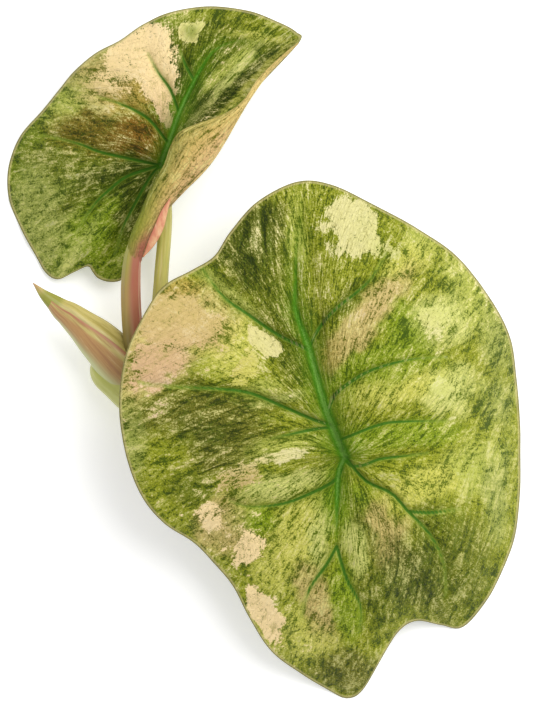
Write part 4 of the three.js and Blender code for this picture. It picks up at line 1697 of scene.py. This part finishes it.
@dataclass(frozen=True)
class Studio:
    """A white table with a faint painted glow, a broad soft light from the upper right and a camera looking
    straight down.
    """

    camera_height: float = 1.0
    view_height: float = 0.256  # what the picture's long side covers on the table
    sensor: float = 36.0
    far: float = 20.0
    table: str = "#FBFBFB"
    mottle: str = "#F4F4F4"
    table_half: float = 3.0
    # painted light: the card glows of its own, though it is no lamp, lightening the shadows cast on it
    shadow_lifting_glow: float = 0.3  # the card's own light, which keeps it white at the edges
    key_place: Point = (0.55, 0.5, 1.1)
    key_size: float = 0.9
    key_watts: float = 13.0
    sky: float = 0.66

    def build(self) -> None:
        """Adds the table, the lights, the world and the camera."""
        self._table()
        self._light("key")
        self._world()
        data = bpy.data.cameras.new("overhead")
        data.sensor_width = self.sensor
        data.lens = self.sensor * self.camera_height / self.view_height
        data.clip_end = self.far
        camera = bpy.data.objects.new("overhead", data)
        camera.location = (CENTRING[0] * MM, CENTRING[1] * MM, self.camera_height)
        bpy.context.scene.collection.objects.link(camera)
        bpy.context.scene.camera = camera
        bpy.context.scene.view_settings.view_transform = "Standard"

    def _table(self) -> None:
        """A large flat sheet under the plant, with a faint painted glow that lightens the shadows on it."""
        half = self.table_half
        mesh = bpy.data.meshes.new("table")
        corners = [(-half, -half, 0.0), (half, -half, 0.0), (half, half, 0.0), (-half, half, 0.0)]
        mesh.from_pydata(corners, [], [(0, 1, 2, 3)])
        paint = Paint("glowing_matt_white_card")
        mottle = paint.ramp(paint.noise(paint.object_mm(), 40.0, 2.0), 0.3, 0.7, 0.02)
        colour = paint.blend(mottle, linear(self.table), linear(self.mottle))
        # painted light: the card's faint glow lifts the shadows cast on it
        shadow_lifting_glow = {"Emission_Color": linear("#FFFFFF"), "Emission_Strength": self.shadow_lifting_glow}
        mesh.materials.append(paint.finish(colour, 0.9, Specular_IOR_Level=0.1, **shadow_lifting_glow))
        table = bpy.data.objects.new("table", mesh)
        bpy.context.scene.collection.objects.link(table)

    def _light(self, name: str) -> None:
        """A square soft box that faces the plant."""
        data = bpy.data.lights.new(name, "AREA")
        data.size = self.key_size
        data.energy = self.key_watts
        light = bpy.data.objects.new(name, data)
        light.location = self.key_place
        x, y, z = self.key_place
        light.rotation_euler = (math.atan2(math.hypot(x, y), z), 0.0, math.atan2(x, -y))
        bpy.context.scene.collection.objects.link(light)

    def _world(self) -> None:
        """An even white sky."""
        world = bpy.data.worlds.new("studio")
        world.use_nodes = True
        background = world.node_tree.nodes["Background"]
        background.inputs["Color"].default_value = (1.0, 1.0, 1.0, 1.0)
        background.inputs["Strength"].default_value = self.sky
        bpy.context.scene.world = world


# ------------------------------------------------------------------ the plant


def make_stalks() -> None:
    """Makes the three leaf stalks, two green and one pink."""
    green = StreakedSkin(
        "green_stalk_skin", "#B5AC4E", "#C6BE66", "#9DA14A", "#8C9A3A", streak_share=0.35
    ).build()
    Stalk(
        "front_petiole", "green_petiole_skin",
        (
            (-30, -22, 16), (-30, -9, 21), (-22, 1, 25), (-8, 0, 28), (9, -13, 30.6), (21, -28, 31),
            (28, -37, 31),
        ),
        (4.2, 3.8, 3.5, 3.3, 3.1, 2.9, 2.5),
    ).build(green)
    Stalk(
        "rear_petiole", "green_petiole_skin",
        (
            (-29, -18, 11), (-34, -6, 11), (-38.5, 6, 11.5), (-37.6, 27, 11), (-36, 50, 12.5),
            (-37.6, 66, 15),
        ),
        (3.2, 2.9, 2.7, 2.5, 2.4, 2.3),
    ).build(green)
    pink = StreakedSkin(
        "pink_stalk_skin", "#A8904E", "#AC6252", "#A47A54", "#5E5C20", edge="#9C9C40",
        streak_share=0.3, streak_width=2.2,
    ).build()
    Stalk(
        "young_petiole", "pink_petiole_skin",
        ((-45, -7, 17), (-47, 6, 20), (-47.8, 21, 23), (-47.1, 33.3, 26.8), (-45.2, 40.5, 28.6)),
        (3.9, 3.6, 3.5, 3.3, 2.6), foot_fade=(0.0, 0.55), top_rise=(0.6, 0.881),
    ).build(pink)


def make_young_leaves() -> None:
    """Makes the rolled young blade with its flap, the spear and the sheath that it comes out of."""
    YoungBlade().build(VariegatedLeaf("rolled_young_leaf").build())
    Flap().build(StreakedSkin("salmon_margin_skin", "#D98C6C", "#E8AE82", "#D07A60", "#D98C6C").build())
    Spear().build(
        StreakedSkin("spear_inner_skin", "#AFAE56", "#BDAE62", "#98873E", "#8C8E2C", edge="#B48A60").build(),
        StreakedSkin("spear_outer_skin", "#B58C58", "#C3B46C", "#A06E4A", "#BFC488", edge="#A8604A").build(),
    )
    sheath = StreakedSkin(
        "fleshy_sheath_skin", "#B9BA60", "#C8C676", "#A6AE50", "#B9BA60", streak_share=0.3
    )
    BaseSheath().build(sheath.build())


def main() -> None:
    """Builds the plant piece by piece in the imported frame, then the studio."""
    logging.basicConfig(level=logging.INFO, format="%(name)s: %(message)s")
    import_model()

    leaf = VariegatedLeaf("living_variegated_leaf").build()
    underleaf = VariegatedLeaf("leaf_underside", dulled=0.4).build()
    front_blade().build(leaf, underleaf)
    rear_blade().build(leaf, underleaf)
    make_stalks()
    make_young_leaves()
    Corm().build(CorkySkin("corky_corm_skin").build(), RootSkin("fresh_root_skin").build())

    Studio().build()
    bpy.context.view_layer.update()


if __name__ == "__main__":
    main()
